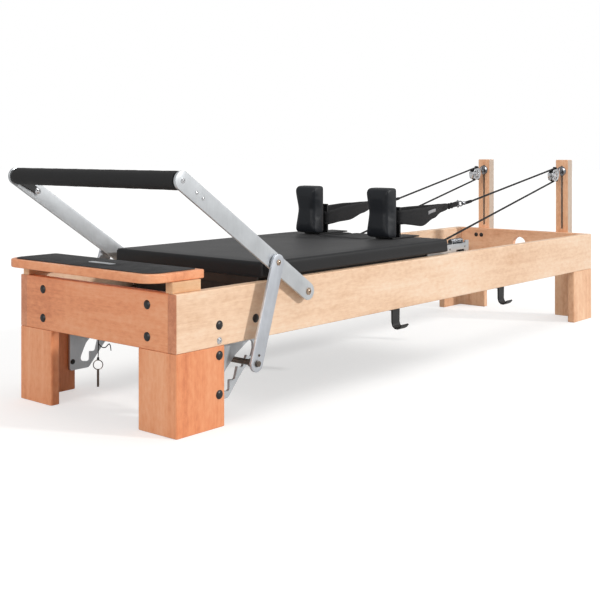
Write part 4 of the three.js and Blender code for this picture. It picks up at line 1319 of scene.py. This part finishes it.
for name, side in SIDES.items():
    strap_node = f"foot_strap_{name}"
    loop = sided("strap_band", name, build_strap, strap_fabric, "carriage", [strap_node], 60)
    thread = sided("strap_stitches", name, build_strap_stitches, thread_black, "carriage")
    tongue = sided("strap_tongue", name, build_strap_tongue, strap_fabric, "carriage", (), 60)
    patch = sided("strap_patch", name, build_patch, label_grey, "carriage")
    for piece in (loop, thread, tongue, patch):
        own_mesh(piece)
    tail = sided("strap_tail", name, build_strap_tail, strap_fabric, "root", [strap_node], 60)
    clip = sided("rope_clip", name, build_clip, dark_chrome, "root")
    splice = sided("rope_splice", name, build_splice, rope_braid, "root", (), 60)

    low_run, wrap, top_run = route(LOW_RUN, side), route(WRAP, side), route(TOP_RUN, side)
    rope_node = f"rope_{name}"
    runs = {}
    for label, points in (("low", low_run), ("wrap", wrap), ("top", top_run)):
        runs[label] = make(
            f"rope_{label}_{name}",
            lambda bm: add_sweep(bm, tube_rings(points, ROPE_R * MM, 16)),
            rope_braid,
            "root",
            [rope_node],
            60,
        )
    for label, points, end, extras in (
        ("low", low_run, "object", ()),
        ("wrap", wrap, "object", ()),
        ("top", top_run, "fitting", (clip, splice, tail)),
    ):
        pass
    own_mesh(runs["low"])
    for piece in (runs["top"], clip, splice, tail):
        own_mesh(piece)


# ---- pulleys ------------------------------------------------------------------------------
EYE = (2401.3, 631)
SLOPE = math.atan2(EYE[1] - SHEAVE["z"], 2420.3 - SHEAVE["x"])


SHEAVE_HALF = [
    [4.4, -6.6], [8.5, -6.6], [9, -5.6], [20, -5.6], [21, -6.8], [26.6, -7], [27.4, -6.4], [27.4, -5.9],
    [23.6, -4.2], [22.6, -2.4],
]
SHEAVE_CENTRE = (SHEAVE["x"], SHEAVE["z"])
CHEEK_FACES = (8.4, 10.8)


def build_sheave(bm, side):
    y = side * SHEAVE["y"]
    profile = mirrored(SHEAVE_HALF, [[22.4, 0]])
    add_lathe(bm, profile, (SHEAVE["x"], y, SHEAVE["z"]), Y_AXIS, 56, closed=True)
    for angle in turns(5):
        for sign in (-1, 1):
            x, z = SHEAVE["x"] + 14.5 * math.cos(angle), SHEAVE["z"] + 14.5 * math.sin(angle)
            rivet = [[0, -0.2], [3.6, -0.2], [3.6, 0.5], [2.8, 0.9], [0, 0.9]]
            add_lathe(bm, rivet, (x, y + sign * 5.5, z), Y_AXIS, 14, sign < 0)


def lean_back(bm, y):
    """Tips what was built level, so that it points from the sheave up to its eye bolt."""
    middle = at(SHEAVE["x"], y, SHEAVE["z"])
    there, back = Matrix.Translation(-middle), Matrix.Translation(middle)
    bmesh.ops.transform(bm, matrix=back @ Matrix.Rotation(-SLOPE, 4, "Y") @ there, verts=bm.verts)


def build_housing(bm, side):
    """Two windowed cheeks, the guard that joins them in front, and the axle with its domed ends."""
    y, (x, z) = side * SHEAVE["y"], SHEAVE_CENTRE
    cheek = rounded([
        (x - 26, z - 26, 22), (x + 22, z - 25, 20), (x + 44, z - 9, 5),
        (x + 44, z + 9, 5), (x + 22, z + 25, 20), (x - 26, z + 26, 22),
    ], 6)
    windows = [disc(*spot, 4.4, 14) for spot in arc(SHEAVE_CENTRE, 15.5, 0, 5 * math.pi / 3, 5)]
    for sign in (-1, 1):
        levels = outside(sign, *CHEEK_FACES)
        add_plate(bm, cheek, Y_AXIS, y + levels[0], y + levels[1], 0.7, 2, windows)
        dome = [[0, 10.4], [7.4, 10.4], [7.4, 11.4], [6.2, 12.6], [3.4, 13.2], [0, 13.2]]
        add_lathe(bm, dome, (x, y, z), Y_AXIS, 24, sign < 0)
    add_lathe(bm, [[0, -9], [4.1, -9], [4.1, 9], [0, 9]], (x, y, z), Y_AXIS, 16)
    guard = band_arc(SHEAVE_CENTRE, math.pi, math.radians(30), 30.4, 32.4, 12)
    add_plate(bm, guard, Y_AXIS, y - 10.8, y + 10.8, 0.6)
    for lift in (-11, 11):
        for low, high in ((-10.6, -8.5), (8.5, 10.6)):
            add_box(bm, (x - 31, y + low, z + lift - 3), (x - 22, y + high, z + lift + 3), 0.6)
    lean_back(bm, y)


def build_bridge(bm, side):
    """The dark yoke behind the sheave, and the swivel that joins it to the eye."""
    y, (x, z) = side * SHEAVE["y"], SHEAVE_CENTRE
    yoke = band_arc(SHEAVE_CENTRE, 0, math.radians(58.5), 32.4, 38.0, 18)
    add_plate(bm, yoke, Y_AXIS, y - 8.2, y + 8.2, 1.4)
    add_box(bm, (x + 34, y - 8.2, z - 15), (x + 46, y + 8.2, z + 15), 3)
    shaft = [
        [0, 44], [7.4, 44], [7.4, 49], [5, 50], [5, 54], [7.4, 55], [7.4, 58], [4.4, 59], [4.4, 63], [0, 63],
    ]
    add_lathe(bm, shaft, (x, y, z), X_AXIS, 24)
    lean_back(bm, y)


def build_eye_bolt(bm, side):
    """The eye the swivel hangs in, its washer on the post and the shank to the knob."""
    y = side * SHEAVE["y"]
    ring = [at(EYE[0] + 9.4 * math.cos(a), y, EYE[1] + 9.4 * math.sin(a)) for a in turns(28)]
    closed_tube(bm, ring, 3.6 * MM, 12)
    shank = [
        [0, 2410.5], [5.4, 2411], [5.8, 2413], [10, 2413.6], [19.4, 2415.6], [20.4, 2416.6], [20.4, 2419.4],
        [19.8, 2420], [3.6, 2420], [3.6, 2480], [0, 2480],
    ]
    add_lathe(bm, shank, (0, y, EYE[1]), X_AXIS, 36)


def build_knob(bm, side):
    back = span("pulley_post_near", X_AXIS)[1]
    gap = span("post_knob_near", X_AXIS)[0] - back
    deep = span("post_knob_near", X_AXIS)[1] - back
    profile = [
        [0, gap + 2], [4.2, gap + 2], [4.2, gap], [10, gap], [10, gap + 3.6], [17, gap + 3.9],
        [18, gap + 5.5], [18, deep - 5], [16.4, deep - 1.8], [12, deep - 0.4], [0, deep],
    ]
    add_lathe(bm, profile, (back, side * SHEAVE["y"], EYE[1]), X_AXIS, 64, lobes=8, depth=0.09)


for name in SIDES:
    sheave_body, knob_body = f"pulley_sheave_{name}", f"post_knob_{name}"
    sided("sheave", name, build_sheave, gloss_black, sheave_body, [sheave_body])
    sided("housing", name, build_housing, chrome, "root", [f"pulley_housing_{name}"])
    sided("pulley_yoke", name, build_bridge, gloss_black, "root")
    sided("eye_bolt", name, build_eye_bolt, dark_chrome, "root")
    sided("knob", name, build_knob, black_plastic, knob_body, [knob_body])


# ---- lanyard ------------------------------------------------------------------------------
def build_lanyard_knot(bm):
    """The cord's knot round the ring, and its slack end looped up beside it."""
    x, y = LANYARD["x"], LANYARD["y"]
    for z, radius in ((101.5, 2.6), (105.5, 2.2)):
        ring = []
        for angle in turns(16):
            out, along = radius * math.cos(angle), math.sin(angle)
            ring.append(at(x + out, y + radius * along, z + 0.8 * along))
        closed_tube(bm, ring, LANYARD["r"] * MM, 8)
    bend = [
        (0, 152), (3, 146), (9, 139), (16, 136), (23, 137.5), (28, 143), (33, 147), (36, 143), (37.5, 136),
        (38.5, 127),
    ]
    line = smooth_line([at(x + reach * 0.647, y - reach * 0.762, z) for reach, z in bend], 5)
    add_sweep(bm, tube_rings(line, LANYARD["r"] * MM, 8))


coat("lanyard_pin", bronze_steel)
lanyard_knot = make("lanyard_knot", build_lanyard_knot, rope_braid, "root")
lanyard_points = route(LANYARD_RUN)
lanyard = make(
    "lanyard_line",
    lambda bm: add_sweep(bm, tube_rings(lanyard_points, LANYARD["r"] * MM, 10)),
    rope_braid,
    "root",
    ["lanyard_cord"],
    60,
)


# ---- stage --------------------------------------------------------------------------------
FLOOR_GLOW, FLOOR_REACH = 0.5, 30.0
WORLD_LIGHT = 0.45


def make_stage():
    """A pale floor that shows white to the camera, with only the object's shadow on it."""
    floor_mesh = bpy.data.meshes.new("floor")
    corners = [(x * FLOOR_REACH, y * FLOOR_REACH, 0) for x, y in ((-1, -1), (1, -1), (1, 1), (-1, 1))]
    floor_mesh.from_pydata(corners, [], [(0, 1, 2, 3)])
    floor = bpy.data.objects.new("floor", floor_mesh)
    bpy.context.scene.collection.objects.link(floor)
    surface = Shader("floor_white", (0.55, 0.55, 0.55), 0.9)
    surface.set(surface.bsdf, {"Emission Color": (1, 1, 1, 1)})
    path = surface.node("ShaderNodeLightPath")
    glow = surface.spread(path.outputs["Is Camera Ray"], 0.0, FLOOR_GLOW)
    surface.set(surface.bsdf, {"Emission Strength": glow})
    floor.data.materials.append(surface.material)

    world = bpy.data.worlds.new("world")
    bpy.context.scene.world = world
    world.use_nodes = True
    background = world.node_tree.nodes["Background"]
    background.inputs["Color"].default_value = (1, 1, 1, 1)
    path = world.node_tree.nodes.new("ShaderNodeLightPath")
    power = world.node_tree.nodes.new("ShaderNodeMapRange")
    power.inputs["To Min"].default_value = WORLD_LIGHT
    power.inputs["To Max"].default_value = 1.0
    world.node_tree.links.new(path.outputs["Is Camera Ray"], power.inputs["Value"])
    world.node_tree.links.new(power.outputs["Result"], background.inputs["Strength"])
    bpy.context.scene.view_settings.view_transform = "Standard"


def add_sun(name, energy, spread, source, color=(1.0, 0.99, 0.97)):
    """A sun that shines from a direction."""
    data = bpy.data.lights.new(name, "SUN")
    data.energy = energy
    data.angle = math.radians(spread)
    data.color = color
    lamp = bpy.data.objects.new(name, data)
    lamp.rotation_euler = Vector(source).to_track_quat("Z", "Y").to_euler()
    bpy.context.scene.collection.objects.link(lamp)


make_stage()
add_sun("key", 1.8, 4, (0.42, -0.85, 0.36))
add_sun("fill", 0.9, 25, (-1.0, -0.15, 0.35))
add_sun("overhead", 1.0, 50, (0.05, -0.1, 1.0))
